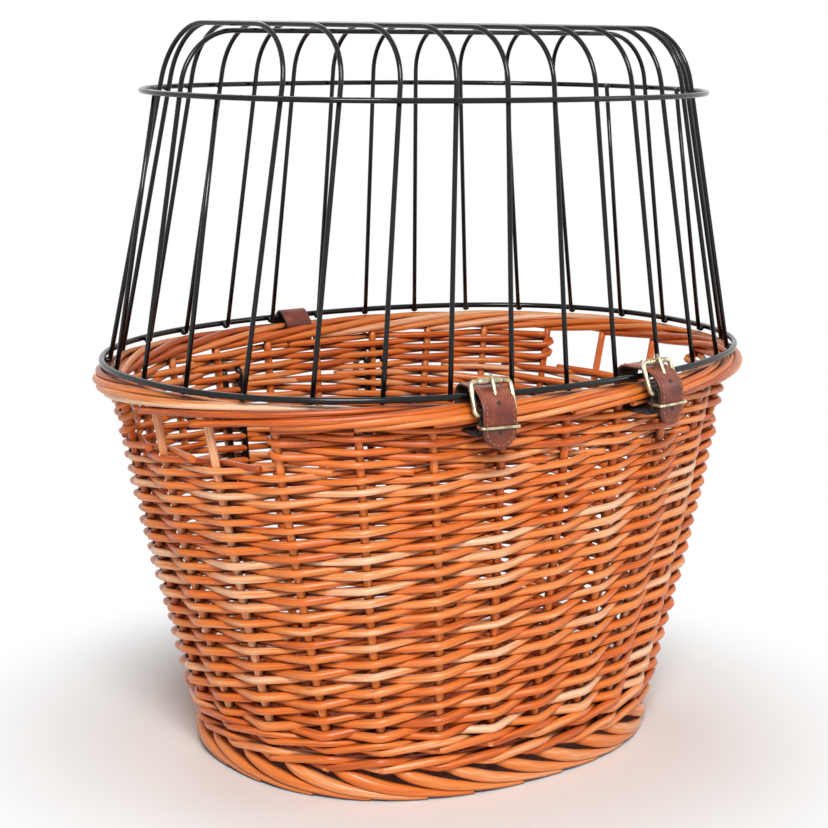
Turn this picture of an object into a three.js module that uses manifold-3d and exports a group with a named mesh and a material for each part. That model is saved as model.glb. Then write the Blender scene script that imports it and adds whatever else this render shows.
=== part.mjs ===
// Oval willow bicycle basket with a wire guard that is hinged at the back and buckled at the front.
// Millimetres, +Z up. X runs along the basket, -Y is the buckled front, +Y the side towards the bicycle.
// The origin is on the floor under the middle of the overall box.

import * as THREE from 'three';
import { mergeVertices } from 'three/addons/utils/BufferGeometryUtils.js';
import Module from 'manifold-3d';

const wasm = await Module();
wasm.setup();

// Driving dimensions: the plan oval, a superellipse, and the woven wall
const OVAL_POWER = 2.25;
const WALL_FOOT_HALF_LENGTH = 161;
const WALL_FOOT_HALF_WIDTH = 131;
const WALL_TOP_HALF_LENGTH = 224;
const WALL_TOP_HALF_WIDTH = 162;
const WALL_BULGE = 3;
const WALL_THICKNESS = 13;
const WALL_TOP = 248;
const WALE_TOP = 42;
const HAND_HOLE_SILL = 222;
const BASE_THICKNESS = 10;

// Driving dimensions: the two borders, each an oval ring with a rounded section
const FOOT_HEIGHT = 17;
const FOOT_WIDTH = 20;
const FOOT_OVERHANG = 7;
const BORDER_HEIGHT = 14;
const BORDER_WIDTH = 25;

// Driving dimensions: the upright stakes, counted from the -X end towards the front
const STAKE_COUNT = 26;
const STAKE_PHASE = -0.875;
const STAKE_RADIUS = 3;
const HOLE_GAPS = 3;

// Driving dimensions: the woven rows, which grow finer from the foot to the hand holes
const WEAVER_RADIUS = 2.3;
const LOW_ROW_PITCH = 5.5;
const HIGH_ROW_PITCH = 4.1;

// Driving dimensions: the wire guard
const GUARD_HEIGHT = 480;
const GUARD_BARS = 30;
const BAR_RADIUS = 2;
const LOWER_RING_RADIUS = 2.5;
const UPPER_RING_RADIUS = 2.2;
const RING_OUTSET = 4;
const RING_LIFT = 1.5;
const UPPER_RING_HEIGHT = 436;
const UPPER_BAR_HALF_LENGTH = 194;
const UPPER_BAR_HALF_WIDTH = 138;
const HOOP_CORNER_RADIUS = 38;
const SHORT_BAR_RISE = 5;

// Driving dimensions: leather straps, brass buckles and the back loop
const STRAP_WIDTH = 22;
const STRAP_THICKNESS = 2;
const LEFT_STRAP_BAR = 5.5;
const RIGHT_STRAP_BAR = 8.6;
const STRAP_SLACK = 0.6;
const STRAP_SAG = 0.7;
const BELT_DROP = 2.7;
const BELT_SLACK = 0.2;
const TONGUE_DROP = 34;
const TONGUE_LIFT = 1.5;
const TONGUE_INNER_BEND = 8;
const TONGUE_OUTER_BEND = 16;
const BUCKLE_WIRE_RADIUS = 1.5;
const BUCKLE_LENGTH = 23;
const BUCKLE_LEAN = 24;
const BUCKLE_DROP = 5;
const FOLD_TAIL = 14;
const PRONG_RADIUS = 1.2;
const PRONG_OVERRUN = 5;
const PRONG_HOLE_OVERRUN = 2;
const PRONG_EYE_SWEEP = 300;
const KEEPER_WIRE_RADIUS = 0.9;
const KEEPER_DROP = 6.5;
const LOOP_WIDTH = 22;
const LOOP_SHOULDER = 0.5;
const LOOP_WRAP_FROM = 145;
const LOOP_WRAP_TO = 25;

// Driving dimensions: the two steel hooks on the back wall, whose height is over the hand holes' sill
const HOOK_RADIUS = 2.5;
const HOOK_SPACING = 131;
const HOOK_SPREAD = 14;
const HOOK_OPENING = 34;
const HOOK_HEIGHT = 13;
const HOOK_TIP_DROP = 16;
const HOOK_LEG_FOOT = 110;
const HOOK_BEND = 6;

// Clearances and fineness of the facets
const GAP = 0.3;
const OVAL_STEPS = 72;
const WIRE_SIDES = 6;
const HOLE_SIDES = 8;
const RECTANGLE_STEPS = 28;
const ARC_STEPS = 6;

// Heights and reaches that follow from the driving dimensions
const BORDER_TOP = WALL_TOP + BORDER_HEIGHT;
const BORDER_HALF_LENGTH = WALL_TOP_HALF_LENGTH - STAKE_RADIUS / 2;
const BORDER_HALF_WIDTH = WALL_TOP_HALF_WIDTH - STAKE_RADIUS / 2;
const RING_HEIGHT = BORDER_TOP + RING_LIFT + LOWER_RING_RADIUS;
const BAR_INSET = LOWER_RING_RADIUS + BAR_RADIUS + GAP;
const HOOP_TOP = GUARD_HEIGHT - BAR_RADIUS;
const SPINE_TOP = HOOP_TOP - 2 * BAR_RADIUS - GAP;
const HOOK_TOP = HAND_HOLE_SILL + HOOK_HEIGHT;

const willow = new THREE.MeshStandardMaterial({ color: 0xc4672e, roughness: 0.5, metalness: 0 });
const willowDark = new THREE.MeshStandardMaterial({ color: 0xa9531f, roughness: 0.55, metalness: 0 });
const blackSteel = new THREE.MeshStandardMaterial({ color: 0x15171a, roughness: 0.3, metalness: 0.2 });
const leather = new THREE.MeshStandardMaterial({ color: 0x7a2f22, roughness: 0.45, metalness: 0 });
const brass = new THREE.MeshStandardMaterial({ color: 0xd8cf9a, roughness: 0.3, metalness: 1 });

// A path through given points, one step to a point
class PointPath extends THREE.Curve {
  constructor(points) {
    super();
    this.points = points;
  }

  getPointAt(u, target = new THREE.Vector3()) {
    const last = this.points.length - 1;
    return target.copy(this.points[Math.round(u * last)]);
  }

  getTangentAt(u, target = new THREE.Vector3()) {
    const last = this.points.length - 1;
    const index = Math.round(u * last);
    const before = this.points[Math.max(index - 1, 0)];
    const after = this.points[Math.min(index + 1, last)];
    return target.subVectors(after, before).normalize();
  }
}

// The plan oval as a closed level curve, run from the -X end through the front
class OvalCurve extends THREE.Curve {
  constructor(halfLength, halfWidth, z) {
    super();
    this.halfLength = halfLength;
    this.halfWidth = halfWidth;
    this.z = z;
  }

  getPoint(t, target = new THREE.Vector3()) {
    const angle = Math.PI + t * 2 * Math.PI;
    const c = Math.cos(angle);
    const s = Math.sin(angle);
    const x = this.halfLength * Math.sign(c) * Math.abs(c) ** (2 / OVAL_POWER);
    const y = this.halfWidth * Math.sign(s) * Math.abs(s) ** (2 / OVAL_POWER);
    return target.set(x, y, this.z);
  }

  // The turn about Z that points local -Y away from the oval at the fraction u of its length
  outwardTurn(u) {
    const tangent = this.getTangentAt(u);
    return Math.atan2(tangent.y, tangent.x);
  }
}

const rimOval = new OvalCurve(BORDER_HALF_LENGTH, BORDER_HALF_WIDTH, WALL_TOP);

// Half length and half width of the wall's outer face at a height
function wallHalves(z) {
  const t = (z - FOOT_HEIGHT) / (WALL_TOP - FOOT_HEIGHT);
  const bulge = WALL_BULGE * 4 * t * (1 - t);
  return {
    length: THREE.MathUtils.lerp(WALL_FOOT_HALF_LENGTH, WALL_TOP_HALF_LENGTH, t) + bulge,
    width: THREE.MathUtils.lerp(WALL_FOOT_HALF_WIDTH, WALL_TOP_HALF_WIDTH, t) + bulge,
  };
}

// Signed volume, negative when the faces point inwards
function signedVolume(geometry) {
  const position = geometry.getAttribute('position');
  const index = geometry.getIndex();
  const corner = [new THREE.Vector3(), new THREE.Vector3(), new THREE.Vector3()];
  let volume = 0;
  for (let i = 0; i < index.count; i += 3) {
    corner.forEach((v, k) => v.fromBufferAttribute(position, index.getX(i + k)));
    volume += corner[0].dot(corner[1].cross(corner[2])) / 6;
  }
  return volume;
}

// One closed body with shared vertices and its faces pointing out
function closed(geometry) {
  geometry.deleteAttribute('normal');
  geometry.deleteAttribute('uv');
  const merged = mergeVertices(geometry, 1e-3);
  const index = Array.from(merged.getIndex().array);
  const kept = [];
  for (let i = 0; i < index.length; i += 3) {
    const [a, b, c] = index.slice(i, i + 3);
    if (a !== b && b !== c && c !== a) kept.push(a, b, c);
  }
  merged.setIndex(kept);
  if (signedVolume(merged) < 0) merged.setIndex(kept.reverse());
  merged.computeVertexNormals();
  return merged;
}

// A skin over sections of equal point counts, either joined into a ring or capped at both ends
function loft(sections, ring) {
  const around = sections[0].length;
  const position = sections.flatMap((section) => section.flatMap((p) => [p.x, p.y, p.z]));
  const index = [];
  const spans = ring ? sections.length : sections.length - 1;
  for (let i = 0; i < spans; i++) {
    const here = i * around;
    const next = ((i + 1) % sections.length) * around;
    for (let k = 0; k < around; k++) {
      const j = (k + 1) % around;
      index.push(here + k, next + k, next + j, here + k, next + j, here + j);
    }
  }
  const last = (sections.length - 1) * around;
  for (let k = 1; !ring && k < around - 1; k++) {
    index.push(0, k, k + 1, last, last + k + 1, last + k);
  }
  const geometry = new THREE.BufferGeometry();
  geometry.setAttribute('position', new THREE.Float32BufferAttribute(position, 3));
  geometry.setIndex(index);
  return closed(geometry);
}

// A band round the oval from a profile of level ovals
function ovalBand(profile, from = 0, to = 1) {
  const ring = to - from === 1;
  const steps = Math.round(OVAL_STEPS * (to - from));
  const sections = [];
  for (let i = 0; i < (ring ? steps : steps + 1); i++) {
    const t = rimOval.getUtoTmapping(from + ((to - from) * i) / steps);
    sections.push(profile.map((oval) => oval.getPoint(t)));
  }
  return loft(sections, ring);
}

// The level oval at a height, drawn in from the wall's outer face
function wallOval(z, inset) {
  const half = wallHalves(z);
  return new OvalCurve(half.length - inset, half.width - inset, z);
}

// A wall band between two heights, with the outer face first
function wallProfile(bottom, top) {
  const corners = [[bottom, 0], [top, 0], [top, WALL_THICKNESS], [bottom, WALL_THICKNESS]];
  return corners.map(([z, inset]) => wallOval(z, inset));
}

// Heights of woven rows between two levels, each row a little closer to the last
function rowHeights(bottom, top) {
  const pitch = (LOW_ROW_PITCH + HIGH_ROW_PITCH) / 2;
  const lean = (LOW_ROW_PITCH - HIGH_ROW_PITCH) / (LOW_ROW_PITCH + HIGH_ROW_PITCH);
  const gaps = Math.max(Math.round((top - bottom - 2 * WEAVER_RADIUS) / pitch), 1);
  return Array.from({ length: gaps + 1 }, (_, i) => {
    const share = i / gaps;
    return bottom + (top - bottom) * (share + lean * share * (1 - share));
  });
}

// A woven band all round: at a stake a row lies outside it or inside it by turns, where the stake shows
// on the other face, and halfway to the next stake every row crosses the middle of the wall
function wovenBand(bottom, top) {
  const heights = rowHeights(bottom, top);
  const middle = WALL_THICKNESS / 2;
  const insets = (step, row) => {
    if (step % 2 === 1) return [middle - WEAVER_RADIUS, middle + WEAVER_RADIUS];
    const outside = (step / 2 + row) % 2 === 0;
    return outside ? [0, middle + STAKE_RADIUS] : [middle - STAKE_RADIUS, WALL_THICKNESS];
  };
  const sections = Array.from({ length: 2 * STAKE_COUNT }, (_, step) => {
    const fraction = THREE.MathUtils.euclideanModulo(stakeFraction(step / 2), 1);
    const t = rimOval.getUtoTmapping(fraction);
    const face = (side) => heights.map((z, row) => wallOval(z, insets(step, row)[side]).getPoint(t));
    return [...face(0), ...face(1).reverse()];
  });
  return loft(sections, true);
}

// A rounded section of a border, with its corners cut by a quarter of the height
function borderProfile(halfLength, halfWidth, bottom, width, height) {
  const cut = height / 4;
  const r = width / 2;
  const corners = [
    [r - cut, 0], [r, cut], [r, height - cut], [r - cut, height],
    [cut - r, height], [-r, height - cut], [-r, cut], [cut - r, 0],
  ];
  return corners.map(([out, up]) => new OvalCurve(halfLength + out, halfWidth + out, bottom + up));
}

// A round wire along points
function wire(points, radius, sides = WIRE_SIDES) {
  const outline = Array.from({ length: sides }, (_, i) => {
    const angle = (2 * Math.PI * i) / sides;
    return new THREE.Vector2(radius * Math.cos(angle), radius * Math.sin(angle));
  });
  const extrudePath = new PointPath(points);
  const steps = points.length - 1;
  const settings = { steps, extrudePath, bevelEnabled: false };
  return closed(new THREE.ExtrudeGeometry(new THREE.Shape(outline), settings));
}

// A closed ring of round wire
function wireRing(curve, radius, steps, sides) {
  return closed(new THREE.TubeGeometry(curve, steps, radius, sides, true));
}

// The rounded rectangle of a buckle or keeper: half sides along X and along the unit vector up
function wireRectangle(centre, up, halfX, halfUp, radius) {
  const corner = 1.5 * radius;
  const at = (x, u) => new THREE.Vector3(x, 0, 0).addScaledVector(up, u).add(centre);
  const points = [];
  for (const [sx, su] of [[1, 1], [-1, 1], [-1, -1], [1, -1]]) {
    const long = at(sx * (halfX - corner), su * halfUp);
    const short = at(sx * halfX, su * (halfUp - corner));
    const round = at(sx * (halfX - corner * 0.3), su * (halfUp - corner * 0.3));
    points.push(...(sx * su > 0 ? [short, round, long] : [long, round, short]));
  }
  const curve = new THREE.CatmullRomCurve3(points, true, 'centripetal');
  return wireRing(curve, radius, RECTANGLE_STEPS, WIRE_SIDES);
}

// A flat strap along points in the local YZ plane; width may fall away towards a rounded tip
function ribbon(points, width, thickness, ring = false, tipLength = 0) {
  const last = points.length - 1;
  const run = [0];
  for (let i = 1; i <= last; i++) run.push(run[i - 1] + points[i].distanceTo(points[i - 1]));
  const sections = points.map((p, i) => {
    const before = ring ? points[(i + last) % (last + 1)] : points[Math.max(i - 1, 0)];
    const after = ring ? points[(i + 1) % (last + 1)] : points[Math.min(i + 1, last)];
    const along = new THREE.Vector3().subVectors(after, before).normalize();
    const side = new THREE.Vector3(0, -along.z, along.y).multiplyScalar(thickness / 2);
    const left = tipLength - (run[last] - run[i]);
    const narrow = tipLength > 0 && left > 0 ? Math.sqrt(Math.max(1 - (left / tipLength) ** 2, 0.09)) : 1;
    const half = (narrow * width) / 2;
    return [[-1, -1], [1, -1], [1, 1], [-1, 1]].map(([sx, st]) => (
      new THREE.Vector3(sx * half, 0, 0).addScaledVector(side, st).add(p)
    ));
  });
  return loft(sections, ring);
}

// Points of an arc in the YZ plane, angles in degrees from +Y towards +Z
function arc(centre, radius, from, to, steps = ARC_STEPS) {
  return Array.from({ length: steps + 1 }, (_, i) => {
    const angle = THREE.MathUtils.degToRad(from + ((to - from) * i) / steps);
    return new THREE.Vector3(
      centre.x,
      centre.y + radius * Math.cos(angle),
      centre.z + radius * Math.sin(angle),
    );
  });
}

const at = (x, y, z) => new THREE.Vector3(x, y, z);

function levelCircle(middle, radius, sides) {
  return Array.from({ length: sides }, (_, i) => {
    const angle = (2 * Math.PI * i) / sides;
    return at(middle.x + radius * Math.cos(angle), middle.y + radius * Math.sin(angle), middle.z);
  });
}

function solid(geometry) {
  const mesh = new wasm.Mesh({
    numProp: 3,
    vertProperties: Float32Array.from(geometry.getAttribute('position').array),
    triVerts: Uint32Array.from(geometry.getIndex().array),
  });
  return new wasm.Manifold(mesh);
}

// The first geometry with the others cut away from it
function cut(geometry, cutters) {
  const result = cutters.reduce((body, cutter) => body.subtract(solid(cutter)), solid(geometry));
  const mesh = result.getMesh();
  const cutGeometry = new THREE.BufferGeometry();
  cutGeometry.setAttribute('position', new THREE.Float32BufferAttribute(mesh.vertProperties, 3));
  cutGeometry.setIndex(Array.from(mesh.triVerts));
  return closed(cutGeometry);
}

const basket = new THREE.Group();

function addPiece(parent, name, geometry, material) {
  const mesh = new THREE.Mesh(geometry, material);
  mesh.name = name;
  parent.add(mesh);
  return mesh;
}

// Places round the rim: stakes by number, guard bars by number, both as fractions of the oval's length
const stakeFraction = (number) => (number + STAKE_PHASE) / STAKE_COUNT;
const barFraction = (number) => number / GUARD_BARS;
const BACK_BAR = (GUARD_BARS * 3) / 4;

// A group on the rim whose local Y points out of the basket and whose local origin is on the border's middle
function rimGroup(fraction) {
  const group = new THREE.Group();
  const place = rimOval.getPointAt(fraction);
  group.position.set(place.x, place.y, 0);
  group.rotation.z = rimOval.outwardTurn(fraction) + Math.PI;
  basket.add(group);
  group.updateMatrixWorld(true);
  return group;
}

// Leather that passes under the border, measured out from the border's middle
const STRAP_Z = WALL_TOP - GAP - STRAP_THICKNESS / 2 - BELT_DROP;
const STRAP_OUT = BORDER_WIDTH / 2 + GAP + STRAP_THICKNESS / 2 + STRAP_SLACK;
const NOTCH_FLOOR = STRAP_Z - STRAP_THICKNESS / 2 - GAP;

// A block that opens the wall under the border for leather of a given width
function notchCutter(group, width) {
  const height = WALL_TOP - NOTCH_FLOOR;
  const block = new THREE.BoxGeometry(width + 2 * GAP, 2 * (WALL_THICKNESS + BORDER_WIDTH), height);
  block.translate(0, 0, NOTCH_FLOOR + height / 2);
  return closed(block.applyMatrix4(group.matrixWorld));
}

// Hook of doubled steel rod in its rim group: legs inside the back wall, out through the weave, over the
// bar and down
function hookPoints({ group, fraction }) {
  const t = rimOval.getUtoTmapping(fraction);
  const wallY = (z, inset) => group.worldToLocal(wallOval(z, inset).getPoint(t)).y;
  const legY = (z) => wallY(z, WALL_THICKNESS) - GAP - HOOK_RADIUS;
  const arcRadius = HOOK_OPENING / 2 + HOOK_RADIUS;
  const centreZ = HOOK_TOP - arcRadius;
  const centreY = wallY(centreZ, 0) + HOOK_OPENING / 2;
  const x = HOOK_SPREAD / 2;
  const bendZ = HOOK_TOP - HOOK_BEND;
  const legTop = legY(bendZ);
  const half = [
    at(x, legY(HOOK_LEG_FOOT), HOOK_LEG_FOOT),
    at(x, legY((HOOK_LEG_FOOT + bendZ) / 2), (HOOK_LEG_FOOT + bendZ) / 2),
    ...arc(at(x, legTop + HOOK_BEND, bendZ), HOOK_BEND, 180, 90, 3),
    ...arc(at(x, centreY, centreZ), arcRadius, 90, 0),
  ];
  const tipY = centreY + arcRadius;
  const tipZ = centreZ - HOOK_TIP_DROP;
  const turn = Array.from({ length: ARC_STEPS + 1 }, (_, i) => {
    const angle = (Math.PI * i) / ARC_STEPS;
    return at(x * Math.cos(angle), tipY, tipZ - x * Math.sin(angle));
  });
  const mirrored = half.map((p) => at(-p.x, p.y, p.z)).reverse();
  return [...half, ...turn, ...mirrored];
}

const straps = [
  { side: 'left', group: rimGroup(barFraction(LEFT_STRAP_BAR)) },
  { side: 'right', group: rimGroup(barFraction(RIGHT_STRAP_BAR)) },
];
const backGroup = rimGroup(barFraction(BACK_BAR));
const hooks = [['left', 1], ['right', -1]].map(([side, way]) => {
  const fraction = barFraction(BACK_BAR) + (way * HOOK_SPACING) / 2 / rimOval.getLength();
  return { side, fraction, group: rimGroup(fraction) };
});

// Woven body
function addBasketBody() {
  const footLength = WALL_FOOT_HALF_LENGTH + FOOT_OVERHANG - FOOT_WIDTH / 2;
  const footWidth = WALL_FOOT_HALF_WIDTH + FOOT_OVERHANG - FOOT_WIDTH / 2;
  const foot = borderProfile(footLength, footWidth, 0, FOOT_WIDTH, FOOT_HEIGHT);
  addPiece(basket, 'foot_border', ovalBand(foot), willowDark);

  const baseInset = WALL_THICKNESS + GAP;
  const baseLevels = [FOOT_HEIGHT + GAP, FOOT_HEIGHT + GAP + BASE_THICKNESS];
  const baseHalf = wallHalves(baseLevels[0]);
  const baseSections = baseLevels.map((z) => {
    const edge = new OvalCurve(baseHalf.length - baseInset, baseHalf.width - baseInset, z);
    return edge.getSpacedPoints(OVAL_STEPS).slice(1);
  });
  addPiece(basket, 'base_mat', loft(baseSections, false), willowDark);

  addPiece(basket, 'upsett_wale', ovalBand(wallProfile(FOOT_HEIGHT + GAP, WALE_TOP)), willowDark);
  addPiece(basket, 'side_weave', wovenBand(WALE_TOP + GAP, HAND_HOLE_SILL), willow);

  const panel = wallProfile(HAND_HOLE_SILL + GAP, WALL_TOP - GAP);
  const half = STAKE_COUNT / 2;
  const frontPanel = ovalBand(panel, stakeFraction(HOLE_GAPS), stakeFraction(half));
  const backPanel = ovalBand(panel, stakeFraction(half + HOLE_GAPS), stakeFraction(STAKE_COUNT));
  const frontNotches = straps.map(({ group }) => notchCutter(group, STRAP_WIDTH));
  const hookHoles = hooks.map((hook) => {
    return wire(hookPoints(hook), HOOK_RADIUS + GAP, HOLE_SIDES).applyMatrix4(hook.group.matrixWorld);
  });
  addPiece(basket, 'front_panel_weave', cut(frontPanel, frontNotches), willow);
  const backCuts = [notchCutter(backGroup, LOOP_WIDTH), ...hookHoles];
  addPiece(basket, 'back_panel_weave', cut(backPanel, backCuts), willow);

  for (const [side, first] of [['left', 0], ['right', half]]) {
    for (let gap = 1; gap < HOLE_GAPS; gap++) {
      const t = rimOval.getUtoTmapping(stakeFraction(first + gap));
      const ends = [HAND_HOLE_SILL + GAP, WALL_TOP - GAP].map((z) => (
        levelCircle(wallOval(z, WALL_THICKNESS / 2).getPoint(t), STAKE_RADIUS, HOLE_SIDES)
      ));
      addPiece(basket, `${side}_hand_hole_stake_${gap}`, loft(ends, false), willow);
    }
  }

  const rim = borderProfile(BORDER_HALF_LENGTH, BORDER_HALF_WIDTH, WALL_TOP, BORDER_WIDTH, BORDER_HEIGHT);
  addPiece(basket, 'rim_border', ovalBand(rim), willowDark);
}

// Places of the guard bars' feet and of their crossings with the upper ring
const ringHalfLength = BORDER_HALF_LENGTH + RING_OUTSET;
const ringHalfWidth = BORDER_HALF_WIDTH + RING_OUTSET;
const footHeight = RING_HEIGHT - LOWER_RING_RADIUS;
const footOval = new OvalCurve(ringHalfLength - BAR_INSET, ringHalfWidth - BAR_INSET, footHeight);
const shoulderOval = new OvalCurve(UPPER_BAR_HALF_LENGTH, UPPER_BAR_HALF_WIDTH, UPPER_RING_HEIGHT);

// A straight leg, a rounded corner and half of the flat top; inward is the way to the hoop's middle
function hoopHalf(foot, shoulder, top, inward) {
  const rise = new THREE.Vector3().subVectors(shoulder, foot).normalize();
  const apex = foot.clone().addScaledVector(rise, (top - foot.z) / rise.z);
  const turn = rise.angleTo(inward);
  const reach = HOOP_CORNER_RADIUS * Math.tan(turn / 2);
  const start = apex.clone().addScaledVector(rise, -reach);
  const bow = inward.clone().addScaledVector(rise, -rise.dot(inward)).normalize();
  const corner = Array.from({ length: ARC_STEPS + 1 }, (_, i) => {
    const angle = (turn * i) / ARC_STEPS;
    return start.clone()
      .addScaledVector(rise, HOOP_CORNER_RADIUS * Math.sin(angle))
      .addScaledVector(bow, HOOP_CORNER_RADIUS * (1 - Math.cos(angle)));
  });
  return [foot, ...corner];
}

function addGuard() {
  const lowerRing = new OvalCurve(ringHalfLength, ringHalfWidth, RING_HEIGHT);
  const lowerWire = wireRing(lowerRing, LOWER_RING_RADIUS, OVAL_STEPS, WIRE_SIDES);
  addPiece(basket, 'guard_lower_ring', lowerWire, blackSteel);
  const outset = BAR_RADIUS + UPPER_RING_RADIUS + GAP;
  const upperLength = UPPER_BAR_HALF_LENGTH + outset;
  const upperWidth = UPPER_BAR_HALF_WIDTH + outset;
  const upperRing = new OvalCurve(upperLength, upperWidth, UPPER_RING_HEIGHT);
  const upperWire = wireRing(upperRing, UPPER_RING_RADIUS, OVAL_STEPS, WIRE_SIDES);
  addPiece(basket, 'guard_upper_ring', upperWire, blackSteel);

  const spineFoot = footOval.getPointAt(0);
  const spineHalf = hoopHalf(spineFoot, shoulderOval.getPointAt(0), SPINE_TOP, at(1, 0, 0));
  const spineBack = spineHalf.map((p) => at(-p.x, p.y, p.z)).reverse();
  addPiece(basket, 'guard_spine_hoop', wire([...spineHalf, ...spineBack], BAR_RADIUS), blackSteel);

  const half = GUARD_BARS / 2;
  for (let bar = 2; bar <= half - 2; bar++) {
    const u = barFraction(bar);
    const front = hoopHalf(footOval.getPointAt(u), shoulderOval.getPointAt(u), HOOP_TOP, at(0, 1, 0));
    const back = front.map((p) => at(p.x, -p.y, p.z)).reverse();
    const name = `guard_hoop_${String(bar - 1).padStart(2, '0')}`;
    addPiece(basket, name, wire([...front, ...back], BAR_RADIUS), blackSteel);
  }

  const shortBars = {
    left_front: 1,
    right_front: half - 1,
    right_back: half + 1,
    left_back: GUARD_BARS - 1,
  };
  for (const [place, bar] of Object.entries(shortBars)) {
    const foot = footOval.getPointAt(barFraction(bar));
    const shoulder = shoulderOval.getPointAt(barFraction(bar));
    const rise = new THREE.Vector3().subVectors(shoulder, foot).normalize();
    const end = shoulder.clone().addScaledVector(rise, SHORT_BAR_RISE);
    addPiece(basket, `guard_short_bar_${place}`, wire([foot, end], BAR_RADIUS), blackSteel);
  }
}

// Buckle: the lower bar stands outside the border, the upper bar leans in over the guard's ring
const lean = THREE.MathUtils.degToRad(BUCKLE_LEAN);
const buckleUp = at(0, -Math.sin(lean), Math.cos(lean));
const buckleOut = at(0, Math.cos(lean), Math.sin(lean));
const foldRadius = BUCKLE_WIRE_RADIUS + GAP + STRAP_THICKNESS / 2;
const lowerBar = at(0, STRAP_OUT + foldRadius, BORDER_TOP - BUCKLE_DROP);
const upperBar = lowerBar.clone().addScaledVector(buckleUp, BUCKLE_LENGTH - 2 * BUCKLE_WIRE_RADIUS);
const buckleHalfX = STRAP_WIDTH / 2 + 2 * GAP + BUCKLE_WIRE_RADIUS;
const foldWidth = STRAP_WIDTH - 2 * BUCKLE_WIRE_RADIUS;
const prongOffset = BUCKLE_WIRE_RADIUS + 2 * GAP + PRONG_RADIUS;

// The tongue runs up inside the border, over the ring under the upper bar and hangs down outside
const tongueTop = RING_HEIGHT + LOWER_RING_RADIUS + GAP + STRAP_THICKNESS / 2 + TONGUE_LIFT;
const tongueOut = lowerBar.y + foldRadius + STRAP_THICKNESS + STRAP_SAG;
const tongueTip = tongueTop - TONGUE_DROP;
const tongueStart = STRAP_Z + STRAP_THICKNESS / 2 + STRAP_SLACK;

function tonguePoints() {
  const innerMiddle = at(0, TONGUE_INNER_BEND - STRAP_OUT, tongueTop - TONGUE_INNER_BEND);
  const outerMiddle = at(0, tongueOut - TONGUE_OUTER_BEND, tongueTop - TONGUE_OUTER_BEND);
  const straightEnd = outerMiddle.z;
  const steps = 4;
  const drop = Array.from({ length: steps }, (_, i) => {
    return at(0, tongueOut, straightEnd + ((tongueTip - straightEnd) * (i + 1)) / steps);
  });
  const tipLength = STRAP_WIDTH / 2;
  const tip = [1, 0.75, 0.5, 0.25, 0].map((part) => at(0, tongueOut, tongueTip + part * tipLength));
  const hang = drop.filter((p) => p.z > tongueTip + tipLength);
  return [
    at(0, -STRAP_OUT, tongueStart),
    ...arc(innerMiddle, TONGUE_INNER_BEND, 180, 90),
    ...arc(outerMiddle, TONGUE_OUTER_BEND, 90, 0),
    ...hang,
    ...tip,
  ];
}

function addStrap(side, group) {
  const beltReach = STRAP_OUT - STRAP_THICKNESS / 2 - BELT_SLACK;
  const belt = [at(0, -beltReach, STRAP_Z), at(0, beltReach, STRAP_Z)];
  addPiece(group, `${side}_strap_belt`, ribbon(belt, STRAP_WIDTH, STRAP_THICKNESS), leather);

  const prongStart = lowerBar.clone().addScaledVector(buckleOut, prongOffset);
  const prongTurn = upperBar.clone().addScaledVector(buckleOut, prongOffset);
  const prongEnd = prongTurn.addScaledVector(buckleUp, PRONG_OVERRUN);
  const eye = arc(lowerBar, prongOffset, BUCKLE_LEAN - PRONG_EYE_SWEEP, BUCKLE_LEAN, 2 * ARC_STEPS);
  const holeStart = prongStart.clone().addScaledVector(buckleUp, -PRONG_HOLE_OVERRUN);
  const holeEnd = prongEnd.clone().addScaledVector(buckleUp, PRONG_HOLE_OVERRUN);
  const hole = wire([holeStart, holeEnd], PRONG_RADIUS + 2 * GAP, HOLE_SIDES);
  const tongue = ribbon(tonguePoints(), STRAP_WIDTH, STRAP_THICKNESS, false, STRAP_WIDTH / 2);
  addPiece(group, `${side}_strap_tongue`, cut(tongue, [hole]), leather);

  const fold = [
    at(0, STRAP_OUT, tongueStart),
    at(0, STRAP_OUT, (tongueStart + lowerBar.z) / 2),
    ...arc(lowerBar, foldRadius, 180, 0, 2 * ARC_STEPS),
    at(0, lowerBar.y + foldRadius, lowerBar.z - FOLD_TAIL),
  ];
  const slotWidth = 2 * (PRONG_RADIUS + 2 * GAP);
  const slotHeight = 2 * (foldRadius + STRAP_THICKNESS);
  const eyeSlot = new THREE.BoxGeometry(slotWidth, 4 * foldRadius, slotHeight);
  eyeSlot.translate(0, lowerBar.y, lowerBar.z + GAP);
  const buckleStrap = cut(ribbon(fold, foldWidth, STRAP_THICKNESS), [closed(eyeSlot)]);
  addPiece(group, `${side}_buckle_strap`, buckleStrap, leather);

  const middle = new THREE.Vector3().addVectors(lowerBar, upperBar).multiplyScalar(0.5);
  const buckleHalfUp = lowerBar.distanceTo(upperBar) / 2;
  const frame = wireRectangle(middle, buckleUp, buckleHalfX, buckleHalfUp, BUCKLE_WIRE_RADIUS);
  addPiece(group, `${side}_buckle_frame`, frame, brass);
  addPiece(group, `${side}_buckle_prong`, wire([...eye, prongEnd], PRONG_RADIUS), brass);

  const keeperRoom = STRAP_THICKNESS / 2 + GAP + KEEPER_WIRE_RADIUS;
  const keeperHalfX = STRAP_WIDTH / 2 + GAP + KEEPER_WIRE_RADIUS;
  const foldOut = lowerBar.y + foldRadius;
  const keeperReach = (tongueOut - foldOut) / 2 + keeperRoom;
  const keeperMiddle = at(0, (tongueOut + foldOut) / 2, lowerBar.z - KEEPER_DROP);
  const keeper = wireRectangle(keeperMiddle, at(0, 1, 0), keeperHalfX, keeperReach, KEEPER_WIRE_RADIUS);
  addPiece(group, `${side}_strap_keeper`, keeper, brass);
}

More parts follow.
